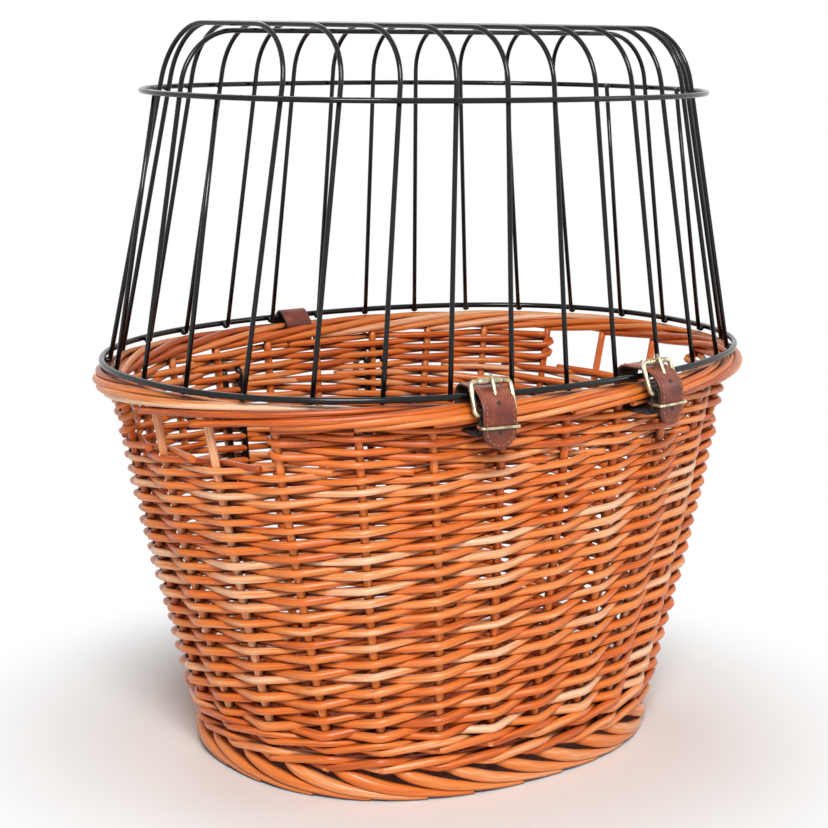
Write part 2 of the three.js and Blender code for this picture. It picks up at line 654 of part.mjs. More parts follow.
// A leather band round the border and the guard's ring, on which the guard turns
function addBackLoop() {
  const ringCentre = at(0, RING_OUTSET, RING_HEIGHT);
  const overRing = LOWER_RING_RADIUS + GAP + STRAP_THICKNESS / 2;
  const shoulderZ = BORDER_TOP - LOOP_SHOULDER;
  const points = [
    at(0, -STRAP_OUT, STRAP_Z),
    at(0, -STRAP_OUT, shoulderZ),
    ...arc(ringCentre, overRing, LOOP_WRAP_FROM, LOOP_WRAP_TO),
    at(0, STRAP_OUT, shoulderZ),
    at(0, STRAP_OUT, STRAP_Z),
  ];
  addPiece(backGroup, 'back_leather_loop', ribbon(points, LOOP_WIDTH, STRAP_THICKNESS, true), leather);
}

addBasketBody();
addGuard();
straps.forEach(({ side, group }) => addStrap(side, group));
addBackLoop();
hooks.forEach((hook) => {
  addPiece(hook.group, `${hook.side}_mounting_hook`, wire(hookPoints(hook), HOOK_RADIUS), blackSteel);
});

// The origin goes under the middle of the overall box
const box = new THREE.Box3().setFromObject(basket, true);
basket.position.y = -(box.min.y + box.max.y) / 2;

// Where the moving pieces turn, in the part's own frame
basket.updateMatrixWorld(true);
basket.userData.pivots = {
  guard: backGroup.localToWorld(at(0, RING_OUTSET, RING_HEIGHT)).toArray(),
  hooks: hooks.map(({ group }) => group.getWorldPosition(at(0, 0, 0)).toArray()),
  ...Object.fromEntries(straps.map(({ side, group }) => [side, {
    axis: at(1, 0, 0).transformDirection(group.matrixWorld).toArray(),
    tongue: group.localToWorld(at(0, -STRAP_OUT, tongueStart)).toArray(),
    buckle: group.localToWorld(at(0, STRAP_OUT, STRAP_Z)).toArray(),
    prong: group.localToWorld(lowerBar.clone()).toArray(),
  }])),
};

export default basket;
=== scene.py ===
"""Looks of an oval willow bicycle basket with a hinged wire guard and two buckled straps.

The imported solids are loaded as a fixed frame, and every piece below is worked out in that frame.
Lengths in the geometry functions are millimetres; a mesh is turned to metres when it is made.
"""
import math

import bpy
import numpy as np
from mathutils import Matrix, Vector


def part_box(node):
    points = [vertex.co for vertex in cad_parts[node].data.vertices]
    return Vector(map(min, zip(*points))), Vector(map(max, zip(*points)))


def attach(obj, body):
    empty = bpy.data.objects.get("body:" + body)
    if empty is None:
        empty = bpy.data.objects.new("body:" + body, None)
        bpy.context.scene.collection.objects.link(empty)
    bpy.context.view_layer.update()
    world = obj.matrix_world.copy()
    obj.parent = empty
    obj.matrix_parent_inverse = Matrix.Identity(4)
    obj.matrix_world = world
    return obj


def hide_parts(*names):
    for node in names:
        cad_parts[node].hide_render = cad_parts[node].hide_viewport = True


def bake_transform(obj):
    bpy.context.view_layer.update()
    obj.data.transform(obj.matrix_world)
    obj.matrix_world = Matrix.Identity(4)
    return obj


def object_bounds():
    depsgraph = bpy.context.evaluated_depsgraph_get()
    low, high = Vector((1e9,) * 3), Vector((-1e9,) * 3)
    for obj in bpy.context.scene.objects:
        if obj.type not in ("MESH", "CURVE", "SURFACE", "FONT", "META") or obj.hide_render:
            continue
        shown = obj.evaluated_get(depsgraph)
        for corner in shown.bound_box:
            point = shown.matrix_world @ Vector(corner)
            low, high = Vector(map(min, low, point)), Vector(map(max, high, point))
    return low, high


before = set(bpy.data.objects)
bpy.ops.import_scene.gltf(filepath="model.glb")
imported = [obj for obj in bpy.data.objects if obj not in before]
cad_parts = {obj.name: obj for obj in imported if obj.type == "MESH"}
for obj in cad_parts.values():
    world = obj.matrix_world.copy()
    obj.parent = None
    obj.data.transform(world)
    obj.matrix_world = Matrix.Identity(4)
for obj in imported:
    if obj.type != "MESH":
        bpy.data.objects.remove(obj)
CAD_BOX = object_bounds()

bl_info = {
    "name": "Willow bicycle basket",
    "version": (1, 0, 0),
    "blender": (4, 5, 0),
    "location": "View3D > Sidebar > Basket",
    "description": "Weaves, bends and buckles the pieces of an oval bicycle basket",
    "category": "Object",
}

MM = 0.001
SEED = 26
UP = np.array([0.0, 0.0, 1.0])
PLAIN_TONE = 0.5  # for a finish that takes no notice of it


def node_box(name):
    """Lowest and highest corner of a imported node, in millimetres."""
    low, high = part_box(name)
    return np.array(low) / MM, np.array(high) / MM


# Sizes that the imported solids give: the two borders, the wall's bands and the base
RIM_LOW, RIM_HIGH = node_box("rim_border")
FOOT_LOW, FOOT_HIGH = node_box("foot_border")
SIDE_LOW, SIDE_HIGH = node_box("side_weave")
WALE_LOW, WALE_HIGH = node_box("upsett_wale")
BASE_LOW, BASE_HIGH = node_box("base_mat")

MIDDLE_Y = (RIM_LOW[1] + RIM_HIGH[1]) / 2
OVAL_POWER = 2.25
BORDER_WIDTH = 25.0
BORDER_HEIGHT = RIM_HIGH[2] - RIM_LOW[2]
BORDER_HALF = (RIM_HIGH - RIM_LOW)[:2] / 2 - BORDER_WIDTH / 2
WALL_FOOT = FOOT_HIGH[2]
WALL_TOP = RIM_LOW[2]
WALL_FOOT_HALF = np.array([161.0, 131.0])
WALL_TOP_HALF = np.array([224.0, 162.0])
WALL_BULGE = 3.0
WALL_THICKNESS = 13.0
HOLE_SILL = SIDE_HIGH[2]
STAKES = 26
STAKE_PHASE = -0.875
HOLE_GAPS = 3

# The guard's wires
BARS = 30
RING_Z = RIM_HIGH[2] + 4.0
RING_OUTSET = 4.0
RING_HALF = BORDER_HALF + RING_OUTSET
BAR_INSET = 4.8
BAR_FOOT_Z = RING_Z - 2.0
UPPER_Z = 436.0
UPPER_BAR_HALF = np.array([194.0, 138.0])
UPPER_RING_HALF = UPPER_BAR_HALF + 4.5
HOOP_TOP = 478.0
HOOP_LEAN_IN = 0.955
SPINE_TOP = 473.7

# The straps, in the plane square to the rim: way out from the border's middle, and height
STRAPS = {"left": 5.5 / BARS, "right": 8.6 / BARS}
BACK_LOOP = 0.75
STRAP_Z = WALL_TOP - 4.0
STRAP_OUT = BORDER_WIDTH / 2 + 1.9
TONGUE_START = STRAP_Z + 1.6
TONGUE_TOP = RING_Z + 5.3
TONGUE_TIP = TONGUE_TOP - 34.0
LOWER_BAR = np.array([STRAP_OUT + 2.8, RIM_HIGH[2] - 5])
TONGUE_OUT = LOWER_BAR[0] + 5.5
BUCKLE_LEAN = math.radians(24)
BUCKLE_UP = np.array([-math.sin(BUCKLE_LEAN), math.cos(BUCKLE_LEAN)])
BUCKLE_OUT = np.array([math.cos(BUCKLE_LEAN), math.sin(BUCKLE_LEAN)])
BUCKLE_HALF = 10.0
UPPER_BAR = LOWER_BAR + 2 * BUCKLE_HALF * BUCKLE_UP
FOLD_RADIUS = 2.8
FOLD_TAIL = 14.0
KEEPER_Z = LOWER_BAR[1] - 6.5


def linear(hex_colour):
    """sRGB hex to linear RGBA: c / 12.92 below 0.04045, else ((c + 0.055) / 1.055) to the power 2.4."""
    channels = np.array([int(hex_colour[i:i + 2], 16) for i in (1, 3, 5)]) / 255
    light = np.where(channels <= 0.04045, channels / 12.92, ((channels + 0.055) / 1.055) ** 2.4)
    return (*light.tolist(), 1.0)


def length(name, description, default_mm):
    return bpy.props.FloatProperty(name=name, description=description, default=default_mm * MM,
                                   min=0.0, unit="LENGTH", precision=4)


def angle(name, description, degrees):
    return bpy.props.FloatProperty(name=name, description=description, default=math.radians(degrees),
                                   subtype="ANGLE")


def colour(name, description, default_hex):
    return bpy.props.FloatVectorProperty(name=name, description=description, size=4, min=0, max=1,
                                         default=linear(default_hex), subtype="COLOR")


class BasketWillow(bpy.types.PropertyGroup):
    low_pitch: length("Row pitch at the foot", "Height of one woven row above the wale", 5.5)
    high_pitch: length("Row pitch at the top", "Height of one woven row under the border", 4.1)
    stake_radius: length("Stake radius", "Half the thickness of an upright stake", 2.9)
    wale_radius: length("Wale rod radius", "Half the thickness of the rods low on the wall", 2.7)
    rim_radius: length("Rim rod radius", "Half the thickness of the rods of the rim border", 2.3)
    foot_radius: length("Foot rod radius", "Half the thickness of the rods of the foot border", 4.5)
    deep: colour("Deep stain", "Stain where it soaked in", "#9C3A0A")
    rich: colour("Rich stain", "Stain on most rods", "#E06A18")
    bright: colour("Bright stain", "Stain on smooth rods", "#F08E42")
    pale: colour("Pale stain", "Stain on the palest rods", "#FACBA4")


class BasketGuard(bpy.types.PropertyGroup):
    bar_radius: length("Bar radius", "Half the thickness of a guard bar", 1.55)
    lower_ring_radius: length("Lower ring radius", "Half the thickness of the ring on the rim", 2.0)
    upper_ring_radius: length("Upper ring radius", "Half the thickness of the ring at the shoulder", 1.7)
    corner_radius: length("Hoop corner", "Radius of a hoop's rounded corner", 38.0)
    hook_radius: length("Hook radius", "Half the thickness of a handlebar hook's rod", 2.5)
    coat: colour("Coating", "Gloss coating of the steel", "#060607")


class BasketStraps(bpy.types.PropertyGroup):
    width: length("Strap width", "Width of the leather", 22.0)
    thickness: length("Strap thickness", "Thickness of leather and lining", 2.0)
    stitch_pitch: length("Stitch pitch", "Distance from one stitch to the next", 3.3)
    leather: colour("Leather", "Grain side of the straps", "#7E3420")
    lining: colour("Lining", "Back and cut edges of the straps", "#3B302C")
    thread: colour("Thread", "Waxed sewing thread", "#C98545")
    brass: colour("Brass", "Pale plated brass", "#D9D1B2")


class BasketStage(bpy.types.PropertyGroup):
    azimuth: angle("Azimuth", "Turn of the camera about the basket", -38.62)
    pitch: angle("Pitch", "How far the camera looks down", 11.41)
    roll: angle("Roll", "Turn of the camera about its own view", -0.83)
    distance: length("Distance", "Level distance of the camera from the basket's middle", 1306.9)
    height: length("Height", "Height of the camera over the floor", 482.8)
    floor: colour("Floor", "Plain pale floor", "#F7F6F4")


GROUPS = {"basket_willow": BasketWillow, "basket_guard": BasketGuard,
          "basket_straps": BasketStraps, "basket_stage": BasketStage}


def millimetres(group, name):
    return getattr(getattr(bpy.context.scene, group), name) / MM


def unit(vectors):
    return vectors / np.maximum(np.linalg.norm(vectors, axis=-1, keepdims=True), 1e-9)


def stacked(*axes):
    """The values of each axis, spread to one shape, as points."""
    return np.stack(np.broadcast_arrays(*axes), -1)


def walked(line):
    """Distance walked along a line at each of its points."""
    return np.r_[0, np.cumsum(np.linalg.norm(np.diff(line, axis=0), axis=1))]


def evenly(corners, step, ring=False):
    """Points at even steps along a line of corners; a ring's line goes back to its start."""
    corners = np.asarray(corners, float)
    if ring:
        corners = np.concatenate([corners, corners[:1]])
    run = walked(corners)
    place = np.linspace(0, run[-1], max(int(run[-1] / step), 2) + 1)
    if ring:
        place = place[:-1]
    return np.stack([np.interp(place, run, axis) for axis in corners.T], -1)


def eased(paths):
    """Takes the sharpness off bends: every point is weighed with its neighbours as 1 : 2 : 1."""
    soft = paths.copy()
    soft[:, 1:-1] = (paths[:, :-2] + 2 * paths[:, 1:-1] + paths[:, 2:]) / 4
    return soft


def laced(knots, steps):
    """Rods that bend only where they cross a stake: straight from knot to knot, with eased bends."""
    share = np.arange(steps)[:, None] / steps
    here, onward = knots[:, :-1, None], knots[:, 1:, None]
    straight = (here + (onward - here) * share).reshape(len(knots), -1, 3)
    return eased(np.concatenate([straight, knots[:, -1:]], 1))


def laced_values(values, steps):
    """Values at the stakes carried straight along each rod, held over its two tails."""
    values = np.c_[values[:, :1], values, values[:, -1:]].astype(float)
    place = np.arange(steps * (values.shape[1] - 1) + 1) / steps
    near = np.minimum(place.astype(int), values.shape[1] - 2)
    return values[:, near] + (values[:, near + 1] - values[:, near]) * (place - near)


def oval(half_length, half_width, angle):
    """Superellipse: each half axis times the cosine or sine, raised to 2 / power with its sign kept."""
    c, s = np.cos(angle), np.sin(angle)
    x = half_length * np.sign(c) * np.abs(c) ** (2 / OVAL_POWER)
    y = half_width * np.sign(s) * np.abs(s) ** (2 / OVAL_POWER)
    return x, y + MIDDLE_Y


def arc_table(half):
    """Angles from the -X end through the front, with the share of the oval's length reached at each."""
    angle = np.pi + np.linspace(0, 2 * np.pi, 4001)
    run = walked(stacked(*oval(*half, angle)))
    return angle, run / run[-1], run[-1]


def even_oval(half, z, count):
    """Points at equal steps round an oval, from its -X end through the front."""
    angles, run, _ = arc_table(half)
    return stacked(*oval(*half, np.interp(np.arange(count) / count, run, angles)), z)


RIM_ANGLES, RIM_RUN, RIM_LENGTH = arc_table(BORDER_HALF)


def rim_angle(share):
    """The oval's angle at a share of the rim's length, counted on past one round."""
    whole = np.floor(share)
    return np.interp(share - whole, RIM_RUN, RIM_ANGLES) + 2 * np.pi * whole


def stake_share(number):
    return (number + STAKE_PHASE) / STAKES


def stake_place(stake, z):
    """A stake's number where it stands at a height: it leans by a sine with a phase of its own."""
    return stake + 0.03 * np.sin(z / 60 + 2.4 * np.mod(stake, STAKES))


def wall_point(number, z, out):
    """A point on the woven wall: the oval whose half axes run in a straight line with height, swelled by
    a parabola, at the angle of a stake number, moved out from the wall's middle."""
    rise = (z - WALL_FOOT) / (WALL_TOP - WALL_FOOT)
    swell = WALL_BULGE * 4 * rise * (1 - rise) - WALL_THICKNESS / 2 + out
    half = (foot + (top - foot) * rise + swell for foot, top in zip(WALL_FOOT_HALF, WALL_TOP_HALF))
    return stacked(*oval(*half, rim_angle(stake_share(number))), z)


def rim_point(number, out, z):
    """A point by the rim: the border's middle oval with both half axes grown by the way out."""
    half = (axis + out for axis in BORDER_HALF)
    return stacked(*oval(*half, rim_angle(stake_share(number))), z)


def rim_frame(share):
    """The border's middle at a share of its length, the way back along the rim and the way out."""
    x, y = oval(*BORDER_HALF, rim_angle(share + np.array([-1e-4, 0, 1e-4])))
    ahead = unit(np.array([x[2] - x[0], y[2] - y[0], 0]))
    return np.array([x[1], y[1], 0]), -ahead, np.array([ahead[1], -ahead[0], 0])


def local_points(share, across, out, z):
    """Points of a piece at the rim from their way across, their way out and their height."""
    origin, along, outward = rim_frame(share)
    across, out, z = (np.asarray(v)[..., None] for v in np.broadcast_arrays(across, out, z))
    return origin + across * along + out * outward + z * UP


def wander(rng, along, size):
    """Slow irregular waves for each rod: three sines of rising frequency with random phases."""
    waves = np.arange(1, 4)[None, :, None]
    phase = rng.uniform(0, 2 * np.pi, (len(along), 3, 1))
    height = rng.normal(0, size, (len(along), 3, 1)) / waves
    return (height * np.sin(waves * along[:, None, :] * 0.55 + phase)).sum(1)


def tube_faces(count, steps, sides, ring):
    """Four-sided faces between neighbouring circles of tubes, and the circles that close their ends."""
    index = np.arange(count * steps * sides).reshape(count, steps, sides)
    here, onward = (index, np.roll(index, -1, 1)) if ring else (index[:, :-1], index[:, 1:])
    quads = np.stack([here, onward, np.roll(onward, -1, 2), np.roll(here, -1, 2)], -1).reshape(-1, 4)
    caps = [] if ring else [*index[:, 0], *index[:, -1, ::-1]]
    return quads, caps


def rods(paths, radii, reference, sides, ring=False):
    """Round rods: a circle of given radius carried along each path, square to it, with its first
    direction square to a reference direction. Returns points, quads, end caps and grain coordinates."""
    paths = np.asarray(paths, float)
    count, steps = paths.shape[:2]
    ahead = np.roll(paths, -1, 1) - np.roll(paths, 1, 1) if ring else np.gradient(paths, axis=1)
    ahead = unit(ahead)
    side = unit(np.cross(ahead, np.broadcast_to(reference, paths.shape)))
    up = np.cross(side, ahead)
    turn = np.arange(sides) * 2 * np.pi / sides
    radii = np.broadcast_to(radii, (count, steps))[..., None, None]
    circle = np.cos(turn)[:, None] * side[:, :, None, :] + np.sin(turn)[:, None] * up[:, :, None, :]
    points = paths[:, :, None, :] + radii * circle
    quads, caps = tube_faces(count, steps, sides, ring)
    run = np.stack([walked(path) for path in paths])
    grain = stacked(run[:, :, None], np.cos(turn), np.sin(turn))
    return points.reshape(-1, 3), quads, caps, grain.reshape(-1, 3)


def joined(parts):
    """Several surfaces as one: points are stacked, and face numbers move up by the points before."""
    starts = np.cumsum([0] + [len(points) for (points, _, _, _), _ in parts])
    quads = np.concatenate([quads + start for ((_, quads, _, _), _), start in zip(parts, starts)])
    ends = [row + start for ((_, _, caps, _), _), start in zip(parts, starts) for row in caps]
    points = np.concatenate([points for (points, _, _, _), _ in parts])
    grain = np.concatenate([grain for (_, _, _, grain), _ in parts])
    tones = np.concatenate([np.repeat(tone, len(surface[0]) // np.size(tone)) for surface, tone in parts])
    return points, quads, ends, grain, tones


def mesh_object(name, parts, materials, slots=None):
    """Puts surfaces into one mesh, in metres, with the rods' grain and tone as point attributes. A part is
    a surface and its tone: one for all its points, or one for each rod or each circle of points."""
    points, quads, ends, grain, tones = joined(parts)
    mesh = bpy.data.meshes.new(name)
    corners = np.concatenate([quads.ravel(), *ends])
    sizes = np.concatenate([np.full(len(quads), 4), np.array([len(row) for row in ends], int)])
    mesh.vertices.add(len(points))
    mesh.vertices.foreach_set("co", (points * MM).astype(np.float32).ravel())
    mesh.loops.add(len(corners))
    mesh.loops.foreach_set("vertex_index", corners.astype(np.int32))
    mesh.polygons.add(len(sizes))
    mesh.polygons.foreach_set("loop_start", np.r_[0, np.cumsum(sizes)[:-1]].astype(np.int32))
    mesh.polygons.foreach_set("use_smooth", np.arange(len(sizes)) < len(quads))
    if slots is not None:
        mesh.polygons.foreach_set("material_index", slots.astype(np.int32))
    mesh.attributes.new("grain", "FLOAT_VECTOR", "POINT").data.foreach_set(
        "vector", grain.astype(np.float32).ravel())
    mesh.attributes.new("tone", "FLOAT", "POINT").data.foreach_set("value", tones.astype(np.float32))
    for finish in materials:
        mesh.materials.append(finish)
    mesh.update(calc_edges=True)
    mesh.validate()
    piece = bpy.data.objects.new(name, mesh)
    bpy.context.scene.collection.objects.link(piece)
    return piece


def fitted(name, parts, materials, body, nodes=(), slots=None):
    """Makes a piece and ties it to its body, its finish and the solids that it stands for."""
    piece = mesh_object(name, parts, materials, slots)
    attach(piece, body)
    if nodes:
        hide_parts(*nodes)


def willow_piece(name, parts, *nodes):
    fitted(name, parts, [material(stained_varnished_willow)], "basket", nodes)


def add(tree, kind, inputs=None, **settings):
    """Adds a shader node, sets its properties, and links or sets its inputs."""
    made = tree.nodes.new(f"ShaderNode{kind}")
    for key, value in settings.items():
        setattr(made, key, value)
    for key, value in (inputs or {}).items():
        if isinstance(value, bpy.types.NodeSocket):
            tree.links.new(value, made.inputs[key])
        else:
            made.inputs[key].default_value = value
    return made


def material(build):
    """Makes a material once, named like the function that fills its empty node tree."""
    found = bpy.data.materials.get(build.__name__)
    if found is None:
        found = bpy.data.materials.new(build.__name__)
        found.use_nodes = True
        found.node_tree.nodes.clear()
        build(found.node_tree)
    return found


def shade(tree, inputs):
    shader = add(tree, "BsdfPrincipled", inputs)
    add(tree, "OutputMaterial", {"Surface": shader.outputs["BSDF"]})


def ramp(tree, factor, stops):
    """A colour ramp over linear colours at given places."""
    made = add(tree, "ValToRGB", {"Fac": factor})
    band = made.color_ramp
    while len(band.elements) < len(stops):
        band.elements.new(1.0)
    for element, (place, tint) in zip(band.elements, stops):
        element.position = place
        element.color = tint
    return made.outputs["Color"]


def attribute(tree, name, output):
    return add(tree, "Attribute", attribute_name=name).outputs[output]


def object_place(tree):
    return add(tree, "TexCoord").outputs["Object"]


def scaled(tree, vector, *scale):
    return add(tree, "Mapping", {"Vector": vector, "Scale": scale}).outputs["Vector"]


def worked(tree, operation, *values):
    return add(tree, "Math", dict(enumerate(values)), operation=operation).outputs[0]


def noise(tree, vector, scale, detail, **more):
    """Fractal noise, with a fourth dimension where a W is given."""
    inputs = {"Vector": vector, "Scale": scale, "Detail": detail, **more}
    return add(tree, "TexNoise", inputs, noise_dimensions="4D" if "W" in more else "3D").outputs["Fac"]


def mapped(tree, value, before=(0.0, 1.0), after=(0.0, 1.0), **settings):
    """A value carried over from one range to another and held at its ends."""
    ends = ("From Min", "From Max", "To Min", "To Max")
    return add(tree, "MapRange", {"Value": value, **dict(zip(ends, before + after))}, **settings).outputs[0]


def mix_tints(tree, share, first, second):
    return add(tree, "Mix", {"Factor": share, "A": first, "B": second}, data_type="RGBA").outputs["Result"]


def bumped(tree, height, strength, depth):
    """A normal that follows a height, with a depth in millimetres."""
    return add(tree, "Bump", {
        "Height": height, "Strength": strength, "Distance": depth * MM}).outputs["Normal"]


def stained_varnished_willow(tree):
    """Peeled willow rods, stained orange and varnished: each rod takes the stain differently, with fine
    streaks along it and small dark knots. Painted shade darkens the crevices between the rods to a deep
    red, by how closed in they are, and the varnish gives a soft gloss."""
    willow = bpy.context.scene.basket_willow
    streak_length, streak_turns, knot_length, crevice_depth = 46.0, 2.2, 38.0, 16.0
    grain, tone = attribute(tree, "grain", "Vector"), attribute(tree, "tone", "Fac")
    long_grain = scaled(tree, grain, 1 / streak_length, streak_turns, streak_turns)
    streaks = noise(tree, long_grain, 1.0, 4.0, W=tone, Roughness=0.62)
    fine_grain = scaled(tree, grain, 4 / streak_length, 5 * streak_turns, 5 * streak_turns)
    fibres = noise(tree, fine_grain, 1.0, 2.0, W=tone)
    spread = worked(tree, "MULTIPLY_ADD", streaks, 1.3, tone)
    stain = worked(tree, "ADD", spread, worked(tree, "MULTIPLY_ADD", fibres, 0.6, -0.95))
    tint = ramp(tree, stain, [(0.05, willow.deep), (0.38, willow.rich), (0.68, willow.bright),
                              (0.97, willow.pale)])
    knot_grain = scaled(tree, grain, 1 / knot_length, 0.8, 0.8)
    knots = add(tree, "TexVoronoi", {"Vector": knot_grain, "W": tone, "Scale": 1.0},
                voronoi_dimensions="4D").outputs["Distance"]
    knotted = mix_tints(tree, mapped(tree, knots, (0.05, 0.13), (0.75, 0.0)), tint, linear("#5E2410"))
    # Painted shade: where the rods close in on a point, its colour is drawn towards a deep red-black,
    # #440A01.
    open_sky = add(tree, "AmbientOcclusion", {"Distance": crevice_depth * MM}, samples=8).outputs["AO"]
    painted_crevice_shade = mapped(tree, open_sky, (0.16, 0.44), (1.0, 0.0))
    shade(tree, {"Base Color": mix_tints(tree, painted_crevice_shade, knotted, linear("#440A01")),
                 "Roughness": mapped(tree, streaks, after=(0.32, 0.5)), "IOR": 1.45,
                 "Normal": bumped(tree, fibres, 0.35, 0.25), "Coat Weight": 0.3, "Coat Roughness": 0.25})


def gloss_coated_steel(tree):
    """Round steel wire with a thick gloss black coating: near black, with a slight ripple in the coat
    that breaks up the long highlights."""
    ripple_size, smear_size = 3.0, 14.0
    place = object_place(tree)
    ripple = noise(tree, place, 1 / (ripple_size * MM), 1.5)
    smear = noise(tree, place, 1 / (smear_size * MM), 3.0)
    tint = ramp(tree, smear, [(0.3, bpy.context.scene.basket_guard.coat), (0.75, linear("#0E0F11"))])
    shade(tree, {"Base Color": tint, "Roughness": mapped(tree, smear, after=(0.1, 0.22)), "IOR": 1.4,
                 "Normal": bumped(tree, ripple, 0.12, 0.2)})


def waxed_cowhide(tree):
    """Waxed cowhide, dyed red brown: fine pores and creases, a waxy gloss, and painted light from the tone,
    paler at the top of a bend.
    """
    pore_size, cloud_size = 0.9, 9.0
    place = object_place(tree)
    pores = add(tree, "TexVoronoi", {"Vector": place, "Scale": 1 / (pore_size * MM)},
                feature="DISTANCE_TO_EDGE").outputs["Distance"]
    clouds = noise(tree, place, 1 / (cloud_size * MM), 4.0)
    # Cloudy mottling plus the tone, which carries painted light: a painted sheen high on a bend, painted
    # shade lower down.
    mottle_and_painted_light = worked(tree, "ADD", clouds, attribute(tree, "tone", "Fac"))
    tint = ramp(tree, mottle_and_painted_light, [(0.35, linear("#5E2416")), (0.62, bpy.context.scene.basket_straps.leather),
                             (1.0, linear("#A8604A"))])
    crease = mapped(tree, pores, (0.0, 0.2))
    shade(tree, {"Base Color": tint, "Roughness": mapped(tree, clouds, after=(0.28, 0.46)),
                 "Normal": bumped(tree, crease, 0.25, 0.12), "Coat Weight": 0.15, "Coat Roughness": 0.3})


def split_leather_lining(tree):
    """Split leather lining and cut edges, dyed dark: matt, with a short fibrous nap."""
    nap_size = 0.7
    nap = noise(tree, object_place(tree), 1 / (nap_size * MM), 3.0)
    tint = ramp(tree, nap, [(0.3, linear("#2A2220")), (0.7, bpy.context.scene.basket_straps.lining)])
    shade(tree, {"Base Color": tint, "Roughness": 0.75, "Normal": bumped(tree, nap, 0.4, 0.15)})


def waxed_linen_thread(tree):
    """Tan waxed linen thread: a fine twist along each stitch."""
    twist_length = 0.7
    twist = scaled(tree, attribute(tree, "grain", "Vector"), 1 / twist_length, 0.6, 0.6)
    strands = add(tree, "TexWave", {"Vector": twist, "Scale": 1.0},
                  bands_direction="DIAGONAL").outputs["Fac"]
    tint = ramp(tree, strands, [(0.1, linear("#8A5526")), (0.8, bpy.context.scene.basket_straps.thread)])
    shade(tree, {"Base Color": tint, "Roughness": 0.55})


def pale_plated_brass(tree):
    """Bent brass wire with a pale plating: bright metal with fine drawing marks and a little tarnish."""
    mark_size, tarnish_size = 0.4, 5.0
    place = object_place(tree)
    marks = noise(tree, place, 1 / (mark_size * MM), 2.0)
    tarnish = noise(tree, place, 1 / (tarnish_size * MM), 3.0)
    tint = ramp(tree, tarnish, [(0.3, linear("#9C9070")), (0.6, bpy.context.scene.basket_straps.brass)])
    shade(tree, {"Base Color": tint, "Metallic": 1.0, "Roughness": mapped(tree, marks, after=(0.2, 0.38))})


def row_heights(low, high):
    """Heights of woven rows whose pitch shrinks evenly upwards: the share of the height runs ahead of the
    share of the rows by a parabola."""
    low_pitch, high_pitch = (millimetres("basket_willow", f"{end}_pitch") for end in ("low", "high"))
    share = np.linspace(0, 1, round(2 * (high - low) / (low_pitch + high_pitch)) + 1)
    lean = (low_pitch - high_pitch) / (low_pitch + high_pitch)
    return low + (high - low) * (share + lean * share * (1 - share))


def lacing(stakes, row):
    """Which side of a stake a row passes: 1 outside, -1 inside, changing at each stake and each row."""
    return 1 - 2 * ((stakes + row) % 2)


def side_rows():
    """The side wall's rows, set in from its lower and upper edge."""
    return row_heights(SIDE_LOW[2] + 1.8, HOLE_SILL - 1.2)


class BASKET_OT_weave_sides(bpy.types.Operator):
    """Weaves the side wall: a rod starts at each stake and climbs one row at every stake, outside one stake
    and inside the next, so that the rods lie outside all the stakes at the same heights"""
    bl_idname = "basket.weave_sides"
    bl_label = "Weave the sides"

    def execute(self, context):
        rng = np.random.default_rng(SEED)
        stake_radius = millimetres("basket_willow", "stake_radius")
        steps, sides, tail, tuck, fullness, waviness = 8, 8, 0.7, -0.5, 0.54, 0.42
        rows = side_rows()
        rod, row = np.mgrid[:STAKES, :len(rows)]
        stakes, side = rod + row, lacing(0, row)
        gauge = fullness * np.gradient(rows) * rng.normal(1, 0.06, (STAKES, 1))
        out = side * (stake_radius + gauge * rng.normal(1.02, 0.09, stakes.shape))
        z = rows + wander(rng, stakes, waviness)
        number = stake_place(stakes, z)
        number = np.c_[number[:, :1] - tail, number, number[:, -1:] + tail]
        out = np.c_[tuck * out[:, :1], out, tuck * out[:, -1:]]
        z = np.c_[z[:, :1], z, z[:, -1:]]
        paths = laced(wall_point(number, z, out), steps)
        tones = rng.normal(0.5, 0.14, (STAKES, 1)) + 0.09 * lacing(0, rod[:, :1])
        # Painted light: each rod is drawn paler where it passes outside a stake and darker where it dives
        # inside, into the shade.
        tones = tones + 0.12 * laced_values(side, steps)
        part = (rods(paths, laced_values(gauge, steps), UP, sides), tones.ravel())
        willow_piece("side_weave_rods", [part], "side_weave")
        return {"FINISHED"}


class BASKET_OT_weave_panels(bpy.types.Operator):
    """Weaves the front and back panels between the hand holes, turning round the end stakes"""
    bl_idname = "basket.weave_panels"
    bl_label = "Weave the panels"

    def execute(self, context):
        stake_radius = millimetres("basket_willow", "stake_radius")
        half = STAKES // 2
        spans = {"front": (HOLE_GAPS, half), "back": (half + HOLE_GAPS, STAKES)}
        pitch = millimetres("basket_willow", "high_pitch")
        fullness, unevenness, point_step, tone_wave = 0.55, 0.3, 5.0, 170.0
        gauge = fullness * pitch
        reach = stake_radius + gauge
        turn_reach = reach / (RIM_LENGTH / STAKES)
        bend = np.linspace(0, np.pi, 7)[1:-1]
        rows = np.arange(STRAP_Z + pitch / 2, HOLE_SILL + gauge, -pitch)[::-1]
        rows_below = len(side_rows())
        for order, (place, (start, end)) in enumerate(spans.items()):
            rng = np.random.default_rng(SEED + 1 + order)
            knots = []
            for row, height in enumerate(rows):
                way = 1 - 2 * (row % 2)
                stakes = np.arange(start, end + 1)[::way]
                side = lacing(stakes, rows_below + row)
                z = height + rng.normal(0, unevenness, len(stakes))
                knots.append(wall_point(stake_place(stakes, z), z, side * reach))
                turned = stake_place(stakes[-1], height) + way * turn_reach * np.sin(bend)
                rise = height + pitch * bend / np.pi
                knots.append(wall_point(turned, rise, side[-1] * reach * np.cos(bend)))
            path = eased(evenly(np.concatenate(knots[:-1]), point_step)[None])
            tones = 0.5 + 0.2 * np.sin(walked(path[0]) / tone_wave) + rng.normal(0, 0.02, path.shape[1])
            part = (rods(path, gauge, UP, 8), tones)
            willow_piece(f"{place}_panel_rods", [part], f"{place}_panel_weave")
        return {"FINISHED"}


